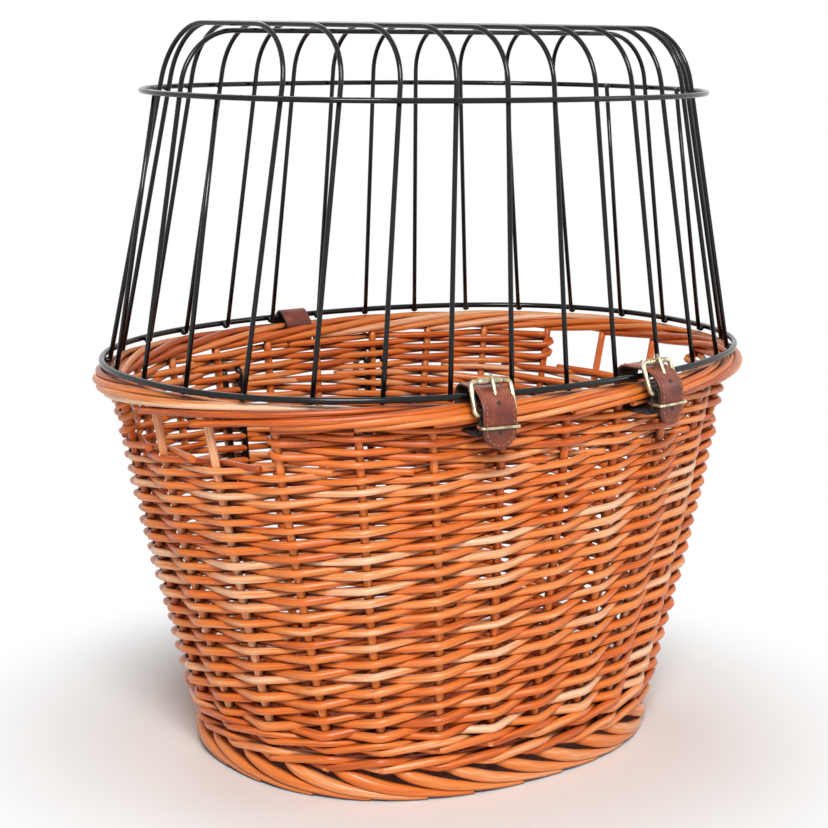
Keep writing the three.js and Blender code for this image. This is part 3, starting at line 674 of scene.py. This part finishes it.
class BASKET_OT_stand_stakes(bpy.types.Operator):
    """Stands the upright stakes from the foot to the rim, bare in the hand holes"""
    bl_idname = "basket.stand_stakes"
    bl_label = "Stand the stakes"

    def execute(self, context):
        rng = np.random.default_rng(SEED + 3)
        steps, sides, foot_lift, top_sunk = 30, 8, 4.0, 5.0
        z = np.linspace(WALE_LOW[2] + foot_lift, WALL_TOP + top_sunk, steps)[None, :]
        paths = wall_point(stake_place(np.arange(STAKES)[:, None], z), z, 0.0)
        gauge = millimetres("basket_willow", "stake_radius") * rng.normal(1, 0.05, (STAKES, 1))
        outward = (paths - np.array([0, MIDDLE_Y, 0])) * np.array([1, 1, 0])
        surface = rods(paths, gauge * np.linspace(1.06, 0.94, steps), outward, sides)
        nodes = [f"{side}_hand_hole_stake_{n}" for side in ("left", "right") for n in (1, 2)]
        willow_piece("upright_stakes", [(surface, rng.normal(0.55, 0.1, STAKES))], *nodes)
        return {"FINISHED"}


class BASKET_OT_lay_wale(bpy.types.Operator):
    """Lays three rods in turn round the foot of the wall, out over two stakes and in behind one"""
    bl_idname = "basket.lay_wale"
    bl_label = "Lay the wale"

    def execute(self, context):
        rng = np.random.default_rng(SEED + 4)
        gauge = millimetres("basket_willow", "wale_radius")
        strands, rounds, steps, lift, closeness, overlap = 3, 2, 8, 1.0, 0.9, 1.2
        low = WALE_LOW[2] + lift
        climb = (WALE_HIGH[2] + lift - low) / rounds
        start = np.arange(strands * rounds)[:, None]
        stakes = start + np.arange(STAKES + strands)
        stroke = np.mod(stakes - start, strands)
        reach = millimetres("basket_willow", "stake_radius") + closeness * gauge
        out = np.where(stroke == 0, -reach, reach) + np.where(stroke == 2, overlap, 0)
        slant = np.choose(stroke, (0.5, 0.25, 0.75))
        z = low + climb * (start // strands + slant) + wander(rng, stakes, 0.2)
        paths = laced(wall_point(stake_place(stakes, z), z, out), steps)
        along = np.linspace(0, stakes.shape[1], paths.shape[1])
        tones = 0.52 + 0.24 * np.sin(0.61 * along + 2.1 * start)
        surface = rods(paths, gauge * (1 + 0.1 * np.sin(along * 0.43)), UP, 8)
        willow_piece("wale_rods", [(surface, tones.ravel())], "upsett_wale")
        return {"FINISHED"}


class BASKET_OT_lay_foot(bpy.types.Operator):
    """Bends the lower end of each stake outwards and lays it slanting down to a thin tip on the floor"""
    bl_idname = "basket.lay_foot"
    bl_label = "Lay the foot border"

    def execute(self, context):
        rng = np.random.default_rng(SEED + 5)
        gauge = millimetres("basket_willow", "foot_radius")
        steps, sides = 40, 12
        gaps = np.array([0, 0.12, 0.35, 0.7, 1.1, 1.6, 2.2, 2.7])
        fall = np.array([22.0, 20.5, 17.0, 12.6, 8.6, 5.4, 2.9, 1.7])
        reach = np.array([-7.0, -2.0, 3.0, 5.2, 6.2, 6.6, 7.4, 8.0])
        taper = np.array([1.0, 1.0, 1.0, 0.98, 0.9, 0.74, 0.52, 0.34])
        u = np.linspace(0, gaps[-1], steps)[None, :]
        number = np.arange(STAKES)[:, None] + rng.normal(0, 0.06, (STAKES, 1)) + u
        radii = gauge * rng.normal(1, 0.07, (STAKES, 1)) * np.interp(u, gaps, taper)
        z = np.interp(u, gaps, fall) + rng.normal(0, 0.4, (STAKES, 1))
        z = FOOT_LOW[2] + np.maximum(z, radii + 0.2)
        paths = eased(eased(wall_point(number, z, np.interp(u, gaps, reach))))
        part = (rods(paths, radii, UP, sides), rng.normal(0.68, 0.14, STAKES))
        willow_piece("foot_border_rods", [part], "foot_border")
        return {"FINISHED"}


class BASKET_OT_roll_rim(bpy.types.Operator):
    """Rolls the upper end of each stake up inside the rim, over its top and slowly down its outside"""
    bl_idname = "basket.roll_rim"
    bl_label = "Roll the rim border"

    def execute(self, context):
        rng = np.random.default_rng(SEED + 6)
        gauge = millimetres("basket_willow", "rim_radius")
        steps, sides, narrowing, settling, uneven_roll = 80, 10, 2.5, 0.4, 7.0
        loose_places, loose_reach = (13.0, 1.5), 1.5
        gaps = np.array([0, 0.8, 1.6, 2.4, 3.1, 3.8, 4.6, 5.3, 6.0])
        roll = np.array([245, 200, 150, 100, 62, 36, 8, -24, -62])
        u = np.linspace(0, gaps[-1], steps)[None, :]
        fine = np.linspace(0, gaps[-1], 600)
        blur = np.hanning(101) / np.hanning(101).sum()
        smooth = np.convolve(np.pad(np.interp(fine, gaps, roll), 50, mode="edge"), blur, "valid")
        along = u + np.zeros((STAKES, 1))
        turn = np.radians(np.interp(u, fine, smooth) 
                          + rng.normal(0, uneven_roll, (STAKES, 1)) * np.clip(u, 0, 1))
        turn = turn + wander(rng, along, 0.06)
        middle = (RIM_LOW[2] + RIM_HIGH[2]) / 2
        out = (BORDER_WIDTH / 2 - narrowing - gauge) * np.cos(turn) + wander(rng, along, 0.25)
        z = middle - settling + (BORDER_HEIGHT / 2 + settling - gauge) * np.sin(turn)
        number = stake_place(np.arange(STAKES)[:, None], WALL_TOP) - u
        end = number[:, -1:]
        loose = np.any([np.abs(end - place) < loose_reach for place in loose_places], 0)
        spring = np.where(loose, rng.uniform(0, 1, (STAKES, 1)), 0.1) * np.clip((u - 5.2) / 0.8, 0, 1) ** 2
        paths = rim_point(number, out + 5 * spring, z - 2.5 * spring)
        radii = gauge * rng.normal(1, 0.07, (STAKES, 1)) * (1.1 - 0.16 * u / gaps[-1])
        parts = [(rods(paths, radii, UP, sides), rng.normal(0.52, 0.22, STAKES))]
        ring = np.linspace(0, STAKES, 201)[None, :-1]
        core_step, core_gauge, core_tone = 4.2, 2.7, 0.3
        for side in (-core_step, 0.0, core_step):
            core = rim_point(ring, side, middle)
            parts.append((rods(core, core_gauge, UP, 8, ring=True), core_tone))
        willow_piece("rim_border_rods", parts, "rim_border")
        return {"FINISHED"}


class BASKET_OT_weave_base(bpy.types.Operator):
    """Weaves the base in ovals, over and under sticks that run out from its middle"""
    bl_idname = "basket.weave_base"
    bl_label = "Weave the base"

    def execute(self, context):
        rng = np.random.default_rng(SEED + 7)
        half = (BASE_HIGH[:2] - BASE_LOW[:2]) / 2
        middle = (BASE_HIGH[2] + BASE_LOW[2]) / 2
        gauge, pitch, sticks, heart, margin = 2.5, 5.3, 26, 8.0, 1.5
        rib_gauge, slat_gauge, wave_height = 2.3, 2.7, 2.3
        count = int((half[1] - heart) / pitch)
        inset = margin + gauge + pitch * np.arange(count)[:, None]
        angle = np.linspace(0, 2 * np.pi, 209)[None, :-1]
        x, y = oval(half[0] - inset, half[1] - inset, angle)
        fade = np.clip((half[1] - inset) / 60, 0.25, 1)
        wave = np.cos(sticks * angle / 2 + np.pi * np.arange(count)[:, None])
        z = middle + wave_height * fade * wave + wander(rng, angle * 4 + np.zeros((count, 1)), 0.15)
        parts = [(rods(stacked(x, y, z), gauge, UP, 8, ring=True), rng.normal(0.45, 0.14, count))]
        reach = np.linspace(0.1, 0.985, 12)[None, :]
        spoke = np.arange(sticks)[:, None] * 2 * np.pi / sticks
        x, y = oval(reach * (half[0] - 2), reach * (half[1] - 2), spoke)
        parts.append((rods(stacked(x, y, middle), rib_gauge, UP, 8), rng.normal(0.5, 0.1, sticks)))
        slats = np.linspace(-half[0] + half[1] - 4, half[0] - half[1] + 4, 12)
        side = np.array([-8.0, -2.7, 2.7, 8.0])[:, None]
        run = stacked(slats[None, :], MIDDLE_Y + side, middle)
        parts.append((rods(run, slat_gauge, UP, 8), np.array([0.4, 0.46, 0.52, 0.58])))
        willow_piece("base_weave_rods", parts, "base_mat")
        return {"FINISHED"}


def bead(middle, radius):
    """A weld bead: circles on a line of latitudes, whose radius is the cosine, drawn in a little on Z."""
    latitude = np.linspace(-np.pi / 2, np.pi / 2, 7)
    path = middle + 0.8 * radius * np.sin(latitude)[:, None] * UP
    return rods(path[None], radius * np.cos(latitude).clip(0.02), (0, 1, 0), 8)


def bar_places():
    """Where each guard bar stands on the lower ring and crosses the upper ring, at equal steps round
    ovals drawn in from the rings. The hoops lean in by a further share of their way from the middle."""
    feet = even_oval(RING_HALF - BAR_INSET, BAR_FOOT_Z, BARS)
    shoulders = even_oval(UPPER_BAR_HALF, UPPER_Z, BARS)
    ring_step = np.arange(BARS) % (BARS // 2)
    shoulders[(ring_step > 1) & (ring_step < BARS // 2 - 1), 0] *= HOOP_LEAN_IN
    return feet, shoulders


def hoop_half(foot, shoulder, top, inward, radius):
    """Half a hoop: a straight leg up through the shoulder, then a corner arc that turns the leg's
    direction into the level one, placed so that the arc ends at the top height."""
    rise = unit(shoulder - foot)
    apex = foot + rise * (top - foot[2]) / rise[2]
    turn = np.arccos(rise @ inward)
    start = apex - rise * radius * np.tan(turn / 2)
    bow = unit(inward - rise * (rise @ inward))
    angle = np.linspace(0, turn, 15)[:, None]
    corner = start + radius * (np.sin(angle) * rise + (1 - np.cos(angle)) * bow)
    leg = foot + (start - foot) * np.linspace(0, 1, 6)[:-1, None]
    return np.concatenate([leg, corner])


class BASKET_OT_bend_guard(bpy.types.Operator):
    """Bends the guard's rings, hoops and short bars and welds them"""
    bl_idname = "basket.bend_guard"
    bl_label = "Bend the guard"

    def execute(self, context):
        radius = millimetres("basket_guard", "bar_radius")
        corner = millimetres("basket_guard", "corner_radius")
        feet, shoulders = bar_places()
        rings = {"lower_ring": (RING_HALF, RING_Z), "upper_ring": (UPPER_RING_HALF, UPPER_Z)}
        for name, (half, z) in rings.items():
            path = even_oval(half, z, 180)[None]
            gauge = millimetres("basket_guard", f"{name}_radius")
            self.fit(f"guard_{name}", [(rods(path, gauge, UP, 12, ring=True), PLAIN_TONE)])
        half = BARS // 2
        middle = np.array([0, MIDDLE_Y, 0])
        lines = {}
        side = hoop_half(feet[0], shoulders[0], SPINE_TOP, np.array([1, 0, 0]), corner)
        lines["guard_spine_hoop"] = np.r_[side, (side * [-1, 1, 1])[::-1]], (0, half), (0, 1, 0)
        for bar in range(2, half - 1):
            front = hoop_half(feet[bar], shoulders[bar], HOOP_TOP, np.array([0, 1, 0]), corner)
            back = ((front - middle) * [1, -1, 1] + middle)[::-1]
            lines[f"guard_hoop_{bar - 1:02d}"] = np.r_[front, back], (bar, BARS - bar), (1, 0, 0)
        short = {"left_front": 1, "right_front": half - 1, "right_back": half + 1, "left_back": BARS - 1}
        for place, bar in short.items():
            end = shoulders[bar] + 0.8 * unit(shoulders[bar] - feet[bar])
            path = np.stack([feet[bar], (feet[bar] + end) / 2, end])
            lines[f"guard_short_bar_{place}"] = path, (bar,), (0, 1, 0)
        for name, (path, ends, reference) in lines.items():
            parts = [(rods(path[None], radius, reference, 12), PLAIN_TONE)]
            for bar in ends:
                outward = unit((feet[bar] - middle) * [1, 1, 0])
                welds = ((feet[bar] + 0.6 * UP + 1.6 * outward, 2.6), (shoulders[bar] + 2.2 * outward, 2.2))
                parts += [(bead(place, size), PLAIN_TONE) for place, size in welds]
            self.fit(name, parts)
        return {"FINISHED"}

    def fit(self, name, parts):
        fitted(f"{name}_wire", parts, [material(gloss_coated_steel)], "guard", [name])


def arc(middle, radius, start, end, steps=14):
    """Points of a circle in a strap's own plane, angles in degrees from out towards up."""
    turn = np.radians(np.linspace(start, end, steps))
    return np.stack([middle[0] + radius * np.cos(turn), middle[1] + radius * np.sin(turn)], -1)


def strap_normals(line, ring=False):
    ahead = unit(np.roll(line, -1, 0) - np.roll(line, 1, 0) if ring else np.gradient(line, axis=0))
    return np.stack([-ahead[:, 1], ahead[:, 0]], -1)


def on_strap(share, line, along, across, lift):
    """Points over a strap that is laid along a line: at a distance along it, a way across, and lifted
    along the line's normal."""
    run, normal = walked(line), strap_normals(line)
    out = np.interp(along, run, line[:, 0]) + np.interp(along, run, normal[:, 0]) * lift
    z = np.interp(along, run, line[:, 1]) + np.interp(along, run, normal[:, 1]) * lift
    return local_points(share, across, out, z)


def strap_surface(share, line, width, thickness, ring=False, tip=0.0):
    """Leather: a flat section with rounded edges carried along a line in the plane square to the rim, its
    width drawn in to a half circle over the tip. Returns the surface and each face's material, 0 on the
    grain side and 1 on the lining and the edges."""
    deep, edge = thickness / 2, 0.35 * thickness
    flat, bend = np.linspace(-0.8, 0.8, 5), np.radians([90, 50, 10, -10, -50, -90])
    level, full, round_off = np.zeros(5), np.ones(6), edge * (np.cos(bend) - 1)
    spread = np.r_[flat, full, flat[::-1], -full]
    inset = np.r_[level, round_off, level, -round_off[::-1]]
    lift = deep * np.r_[level + 1, np.sin(bend), level - 1, np.sin(bend)[::-1]]
    run = walked(line)
    left = np.clip(tip - (run[-1] - run), 0, tip) / max(tip, 1e-6)
    drawn = np.sqrt(np.clip(1 - left ** 2, 0.02, 1))[:, None]
    across = (spread * width / 2 + inset) * drawn
    normal = strap_normals(line, ring)
    out, z = (line[:, k:k + 1] + normal[:, k:k + 1] * lift for k in (0, 1))
    points = local_points(share, across, out, z)
    quads, caps = tube_faces(1, len(line), len(lift), ring)
    grain = stacked(run[:, None], across, lift).reshape(-1, 3)
    rows = len(line) if ring else len(line) - 1
    slots = np.r_[np.tile(np.where(lift > 0.2 * deep, 0, 1), rows), np.ones(len(caps), int)]
    return (points.reshape(-1, 3), quads[:, ::-1], [cap[::-1] for cap in caps], grain), slots


def stitch_row(share, line, width, thickness, pitch, start):
    """Stitches along both edges and round the tip: the strap is laid flat, an outline is drawn inset
    from its edge, cut at even steps, and each stitch is a short rod set on the grain side."""
    half = width / 2 - 2.3
    turn = walked(line)[-1] - width / 2
    tip = arc((turn, 0), half, 90, -90, 15)
    outline = evenly(np.concatenate([[(start, half)], tip, [(start, -half)]]), 0.1)
    walk = walked(outline)
    place = np.arange(0.5, walk[-1] - pitch, pitch)[:, None] + np.linspace(0, 0.66 * pitch, 5)
    along, across = (np.interp(place, walk, axis) for axis in outline.T)
    lift = thickness / 2 + np.array([-0.1, 0.18, 0.24, 0.18, -0.1])
    paths = on_strap(share, line, along, across, lift)
    return rods(paths, np.array([0.24, 0.4, 0.42, 0.4, 0.24]), (0.3, 0.2, 0.9), 6)


def painted_hole_shade(share, line, thickness, along):
    """Painted shade for a punched hole: a dark dished disc on the grain side, from its rim to its middle,
    laid where the hole's shade would be.
    """
    radius = 1.25
    rings = radius * np.array([1.25, 1.0, 0.85, 0.4, 0.02])[:, None]
    lift = thickness / 2 + np.array([-0.05, 0.12, 0.06, 0.04, 0.04])[:, None]
    turn = np.arange(12) * 2 * np.pi / 12
    across, place = rings * np.cos(turn), along + rings * np.sin(turn)
    points = on_strap(share, line, place, across, lift)
    quads, caps = tube_faces(1, 5, 12, False)
    grain = stacked(place, across, 0.0).reshape(-1, 3)
    return points.reshape(-1, 3), quads, caps[1:], grain


def tongue_line():
    """Up inside the border, over the ring under the buckle's upper bar, and down outside."""
    inner, outer = 8.0, 16.0
    return evenly(np.concatenate([
        [[-STRAP_OUT, TONGUE_START]],
        arc((inner - STRAP_OUT, TONGUE_TOP - inner), inner, 180, 90),
        arc((TONGUE_OUT - outer, TONGUE_TOP - outer), outer, 90, 0),
        [[TONGUE_OUT, TONGUE_TIP]],
    ]), 0.9)


class BASKET_OT_cut_straps(bpy.types.Operator):
    """Cuts, lines and sews the leather straps and the back loop, with painted shade where their holes are
    punched
    """
    bl_idname = "basket.cut_straps"
    bl_label = "Cut the straps"

    def execute(self, context):
        width, thickness, pitch = (millimetres("basket_straps", name)
                                   for name in ("width", "thickness", "stitch_pitch"))
        hide, lining = material(waxed_cowhide), material(split_leather_lining)
        thread = material(waxed_linen_thread)
        line = tongue_line()
        hole_places = walked(line)[-1] - np.array([10.0, 27.0])
        # Painted highlight: the tongue is drawn paler at the top of its bend over the ring, as a sheen.
        painted_light_tone = np.exp(-((line[:, 1] - TONGUE_TOP) / 7.0) ** 2) * 0.22
        belt = evenly([(-STRAP_OUT + 1.2, STRAP_Z), (STRAP_OUT - 1.2, STRAP_Z)], 2.0)
        fold = evenly(np.concatenate([
            [[STRAP_OUT, TONGUE_START]], arc(LOWER_BAR, FOLD_RADIUS, 180, 0),
            [[LOWER_BAR[0] + FOLD_RADIUS, LOWER_BAR[1] - FOLD_TAIL]]]), 0.8)
        for side, share in STRAPS.items():
            surface, slots = strap_surface(share, line, width, thickness, tip=width / 2)
            tongue, slot = f"{side}_tongue", "brown_leather"
            fitted(f"{tongue}_leather", [(surface, painted_light_tone)], [hide, lining], tongue,
                   [f"{side}_strap_tongue"], slots)
            stitches = stitch_row(share, line, width, thickness, pitch, 4.0)
            fitted(f"{tongue}_stitches", [(stitches, PLAIN_TONE)], [thread], tongue)
            # Painted shade: dark discs stand for the punched holes, which are not cut through.
            hole_shades = [(painted_hole_shade(share, line, thickness, place), PLAIN_TONE) for place in hole_places]
            fitted(f"{tongue}_holes", hole_shades, [lining], tongue)
            surface, _ = strap_surface(share, belt, width, thickness)
            fitted(f"{side}_belt_leather", [(surface, 0.0)], [lining], "basket",
                   [f"{side}_strap_belt"])
            surface, _ = strap_surface(share, fold, width - 3, thickness)
            piece = mesh_object(f"{side}_buckle_leather", [(surface, 0.0)], [lining])
            bend_out, bend_z = STRAP_OUT + np.array([0, 4.0]), TONGUE_START + np.array([-1, 1.0])
            bend = local_points(share, 0.0, bend_out, bend_z)
            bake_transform(piece)
            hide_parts(f"{side}_buckle_strap")
        shoulder, tucked = RIM_HIGH[2] - 0.5, -6.0
        line = evenly(np.concatenate([
            [[tucked, STRAP_Z], [tucked, shoulder]],
            arc((RING_OUTSET, RING_Z), 3.8, 145, 25),
            [[STRAP_OUT, shoulder], [STRAP_OUT, STRAP_Z]],
        ]), 1.0, ring=True)
        # Painted light: the loop is drawn paler where it lies over the rim and darker where it hangs below
        # it, in shade.
        painted_light_tone = np.where(line[:, 1] > RIM_HIGH[2], 0.12, -0.1)
        surface, slots = strap_surface(BACK_LOOP, line, width, thickness, ring=True)
        fitted("back_loop_leather", [(surface, painted_light_tone)], [hide, lining], "basket",
               ["back_leather_loop"], slots)
        return {"FINISHED"}


def rounded_rectangle(half_across, half_up, corner):
    """Corners of a rectangle with quarter circles, as across and up values."""
    quarters = []
    for k, (right, top) in enumerate(((1, 1), (-1, 1), (-1, -1), (1, -1))):
        middle = (right * (half_across - corner), top * (half_up - corner))
        quarters.append(arc(middle, corner, 90 * k, 90 * k + 90, 8))
    return np.concatenate(quarters)


class BASKET_OT_bend_buckles(bpy.types.Operator):
    """Bends the buckle frames, prongs and keepers from brass wire"""
    bl_idname = "basket.bend_buckles"
    bl_label = "Bend the buckles"

    def execute(self, context):
        half = millimetres("basket_straps", "width") / 2
        outline = evenly(rounded_rectangle(half + 2.1, BUCKLE_HALF, 3.0), 0.8, ring=True)
        place = (LOWER_BAR + UPPER_BAR) / 2 + outline[:, 1:] * BUCKLE_UP
        sleeve = np.array([1.6, 2.05, 2.1, 2.1, 2.1, 2.1, 2.1, 2.05, 1.6])
        eye = arc(LOWER_BAR, 3.3, -276, 24, 22)
        tip = UPPER_BAR + 3.4 * BUCKLE_OUT
        prong = np.r_[eye, [(eye[-1] + tip) / 2 + 0.3 * BUCKLE_OUT, tip, tip + 4 * BUCKLE_UP - BUCKLE_OUT]]
        frame_gauge, keeper_gauge = 1.55, 0.95
        prong_gauge = np.r_[np.full(len(prong) - 1, 1.2), 0.85]
        fold_out = LOWER_BAR[0] + FOLD_RADIUS
        keeper_half = (TONGUE_OUT - fold_out) / 2 + 2.2
        keeper = evenly(rounded_rectangle(half + 1.2, keeper_half, 1.0), 0.6, ring=True)
        for side, share in STRAPS.items():
            along, outward = rim_frame(share)[1:]
            path = local_points(share, outline[:, 0], place[:, 0], place[:, 1])
            square = BUCKLE_OUT[0] * outward + BUCKLE_OUT[1] * UP
            parts = [(rods(path[None], frame_gauge, square, 12, ring=True), PLAIN_TONE)]
            roller = local_points(share, np.linspace(-8.6, 8.6, len(sleeve)), *UPPER_BAR)
            parts.append((rods(roller[None], sleeve, UP, 14), PLAIN_TONE))
            self.fit(side, "buckle", "buckle_frame", parts)
            path = local_points(share, 0.0, prong[:, 0], prong[:, 1])
            parts = [(rods(path[None], prong_gauge, along, 10), PLAIN_TONE)]
            self.fit(side, "prong", "buckle_prong", parts)
            out = (TONGUE_OUT + fold_out) / 2 + keeper[:, 1]
            path = local_points(share, keeper[:, 0], out, KEEPER_Z)
            parts = [(rods(path[None], keeper_gauge, UP, 10, ring=True), PLAIN_TONE)]
            self.fit(side, "keeper", "strap_keeper", parts)
        return {"FINISHED"}

    def fit(self, side, body, node, parts):
        body = f"{side}_{body}"
        fitted(f"{body}_wire", parts, [material(pale_plated_brass)], body, [f"{side}_{node}"])


class BASKET_OT_bend_hooks(bpy.types.Operator):
    """Bends the doubled rods of the two handlebar hooks on the back wall"""
    bl_idname = "basket.bend_hooks"
    bl_label = "Bend the hooks"

    def execute(self, context):
        gauge = millimetres("basket_guard", "hook_radius")
        spacing, spread, opening, bend = 131.0, 7.0, 34.0, 6.0
        top, foot, tip_drop = HOLE_SILL + 13.0, 110.0, 16.0
        sweep = opening / 2 + gauge
        for side, way in (("left", 1), ("right", -1)):
            share = BACK_LOOP + way * spacing / 2 / RIM_LENGTH
            origin, _, outward = rim_frame(share)
            number = share * STAKES - STAKE_PHASE

            def wall_out(z, out):
                return (wall_point(number, z, out) - origin) @ outward

            height = np.linspace(foot, top - bend, 9)
            leg = np.stack([wall_out(height, -3.0), height], -1)
            elbow = arc((leg[-1, 0] + bend, top - bend), bend, 180, 90, 6)
            middle = (wall_out(top - sweep, WALL_THICKNESS / 2) + opening / 2, top - sweep)
            profile = np.concatenate([leg, elbow[1:], arc(middle, sweep, 90, 0, 12)])
            turn = np.linspace(0, np.pi, 14)
            leg_across = np.full(len(profile), spread)
            across = np.r_[leg_across, spread * np.cos(turn), -leg_across]
            tip = np.stack([np.full(14, profile[-1, 0]), middle[1] - tip_drop - spread * np.sin(turn)], -1)
            line = np.concatenate([profile, tip, profile[::-1]])
            path = local_points(share, across, line[:, 0], line[:, 1])
            part = (rods(path[None], gauge, (0.05, 0.6, 0.8), 12), PLAIN_TONE)
            hook = f"{side}_mounting_hook"
            coated = [material(gloss_coated_steel)]
            fitted(f"{hook}_rod", [part], coated, "basket", [hook])
        return {"FINISHED"}


def matt_white_paper(tree):
    """Matt white paper that keeps the object's shadow near it and goes over into plain white farther out,
    where the camera, metal and glass see it."""
    away = add(tree, "VectorMath", {0: object_place(tree)}, operation="LENGTH").outputs["Value"]
    fade = mapped(tree, away, (0.16, 0.36), interpolation_type="SMOOTHSTEP")
    share = worked(tree, "MULTIPLY", fade, seen_rays(tree))
    paper = add(tree, "BsdfDiffuse", {"Color": bpy.context.scene.basket_stage.floor})
    white = add(tree, "Emission", {"Color": (1, 1, 1, 1), "Strength": 1.0})
    mixed = add(tree, "MixShader", {0: share, 1: paper.outputs[0], 2: white.outputs[0]})
    add(tree, "OutputMaterial", {"Surface": mixed.outputs[0]})


def seen_rays(tree):
    """1 for rays from the camera and for those that metal or glass send on, else 0."""
    rays = add(tree, "LightPath").outputs
    sent = worked(tree, "MAXIMUM", rays["Is Glossy Ray"], rays["Is Transmission Ray"])
    return worked(tree, "MAXIMUM", rays["Is Camera Ray"], sent)


class BASKET_OT_set_stage(bpy.types.Operator):
    """Sets the pale floor, the soft lamps and the camera"""
    bl_idname = "basket.set_stage"
    bl_label = "Set the stage"

    def execute(self, context):
        scene = context.scene
        self.lay_floor(scene)
        self.light_world(scene)
        self.hang_lamps(scene)
        self.place_camera(scene)
        scene.view_settings.view_transform = "Standard"
        return {"FINISHED"}

    def lay_floor(self, scene):
        reach, low = 4.0, float(CAD_BOX[0][2])
        mesh = bpy.data.meshes.new("floor")
        corners = [(-reach, -reach, low), (reach, -reach, low), (reach, reach, low), (-reach, reach, low)]
        mesh.from_pydata(corners, [], [(0, 1, 2, 3)])
        mesh.materials.append(material(matt_white_paper))
        floor = bpy.data.objects.new("floor", mesh)
        scene.collection.objects.link(floor)

    def light_world(self, scene):
        world = bpy.data.worlds.new("studio")
        world.use_nodes = True
        tree = world.node_tree
        tree.nodes.clear()
        soft = add(tree, "Background", {"Color": linear("#F7F8FA"), "Strength": 0.2})
        plain = add(tree, "Background", {"Color": (1, 1, 1, 1), "Strength": 1.0})
        mixed = add(tree, "MixShader", {
            0: seen_rays(tree), 1: soft.outputs[0], 2: plain.outputs[0]})
        add(tree, "OutputWorld", {"Surface": mixed.outputs[0]})
        scene.world = world

    def hang_lamps(self, scene):
        lamps = {"key": ((-1.1, -1.7, 1.8), 0.8, 54.0), "fill": ((1.6, -1.3, 1.1), 0.5, 4.0),
                 "back": ((0.6, 1.8, 1.7), 1.2, 10.0)}
        for name, (place, size, power) in lamps.items():
            data = bpy.data.lights.new(name, "AREA")
            data.size = size
            data.energy = power
            lamp = bpy.data.objects.new(name, data)
            lamp.matrix_world = looking(place, np.array([0, 0, 0.2]) - np.array(place), 0.0)
            scene.collection.objects.link(lamp)

    def place_camera(self, scene):
        stage = scene.basket_stage
        data = bpy.data.cameras.new("camera")
        data.sensor_width = 36.0
        focal_pixels, picture, shift_pixels = 1962.9, 828.0, 15.0
        data.lens = focal_pixels / picture * data.sensor_width
        data.shift_x = -shift_pixels / picture
        data.clip_end = 20.0
        camera = bpy.data.objects.new("camera", data)
        place = (math.sin(stage.azimuth) * stage.distance,
                 -math.cos(stage.azimuth) * stage.distance + MIDDLE_Y * MM, stage.height)
        level = math.cos(stage.pitch)
        aim = (-math.sin(stage.azimuth) * level, math.cos(stage.azimuth) * level, -math.sin(stage.pitch))
        camera.matrix_world = looking(place, aim, stage.roll)
        scene.collection.objects.link(camera)
        scene.camera = camera


def looking(place, aim, roll):
    """A turn and place that look along aim: back is minus aim, right is aim crossed with up, rolled."""
    back = -unit(np.array(aim, float))
    right = unit(np.cross(-back, UP))
    up = np.cross(back, right)
    matrix = np.eye(4)
    matrix[:3, 0] = math.cos(roll) * right - math.sin(roll) * up
    matrix[:3, 1] = math.sin(roll) * right + math.cos(roll) * up
    matrix[:3, 2] = back
    matrix[:3, 3] = place
    return Matrix(matrix.tolist())


class BASKET_PT_panel(bpy.types.Panel):
    """Lists the steps that make the basket and the sizes and colours that they use"""
    bl_label = "Bicycle basket"
    bl_idname = "BASKET_PT_panel"
    bl_space_type = "VIEW_3D"
    bl_region_type = "UI"
    bl_category = "Basket"

    def draw(self, context):
        for step in STEPS:
            self.layout.operator(step.bl_idname)
        for name in GROUPS:
            group = getattr(context.scene, name)
            for key in group.__annotations__:
                self.layout.prop(group, key)


STEPS = (BASKET_OT_set_stage, BASKET_OT_weave_sides, BASKET_OT_weave_panels, BASKET_OT_stand_stakes,
         BASKET_OT_lay_wale, BASKET_OT_lay_foot, BASKET_OT_roll_rim, BASKET_OT_weave_base,
         BASKET_OT_bend_guard, BASKET_OT_cut_straps, BASKET_OT_bend_buckles, BASKET_OT_bend_hooks)
CLASSES = (*GROUPS.values(), *STEPS, BASKET_PT_panel)


def register():
    for cls in CLASSES:
        bpy.utils.register_class(cls)
    for name, group in GROUPS.items():
        setattr(bpy.types.Scene, name, bpy.props.PointerProperty(type=group))


def unregister():
    for name in GROUPS:
        delattr(bpy.types.Scene, name)
    for cls in reversed(CLASSES):
        bpy.utils.unregister_class(cls)


def main():
    """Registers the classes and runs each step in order."""
    register()
    for step in STEPS:
        family, name = step.bl_idname.split(".")
        getattr(getattr(bpy.ops, family), name)()


if __name__ == "__main__":
    main()
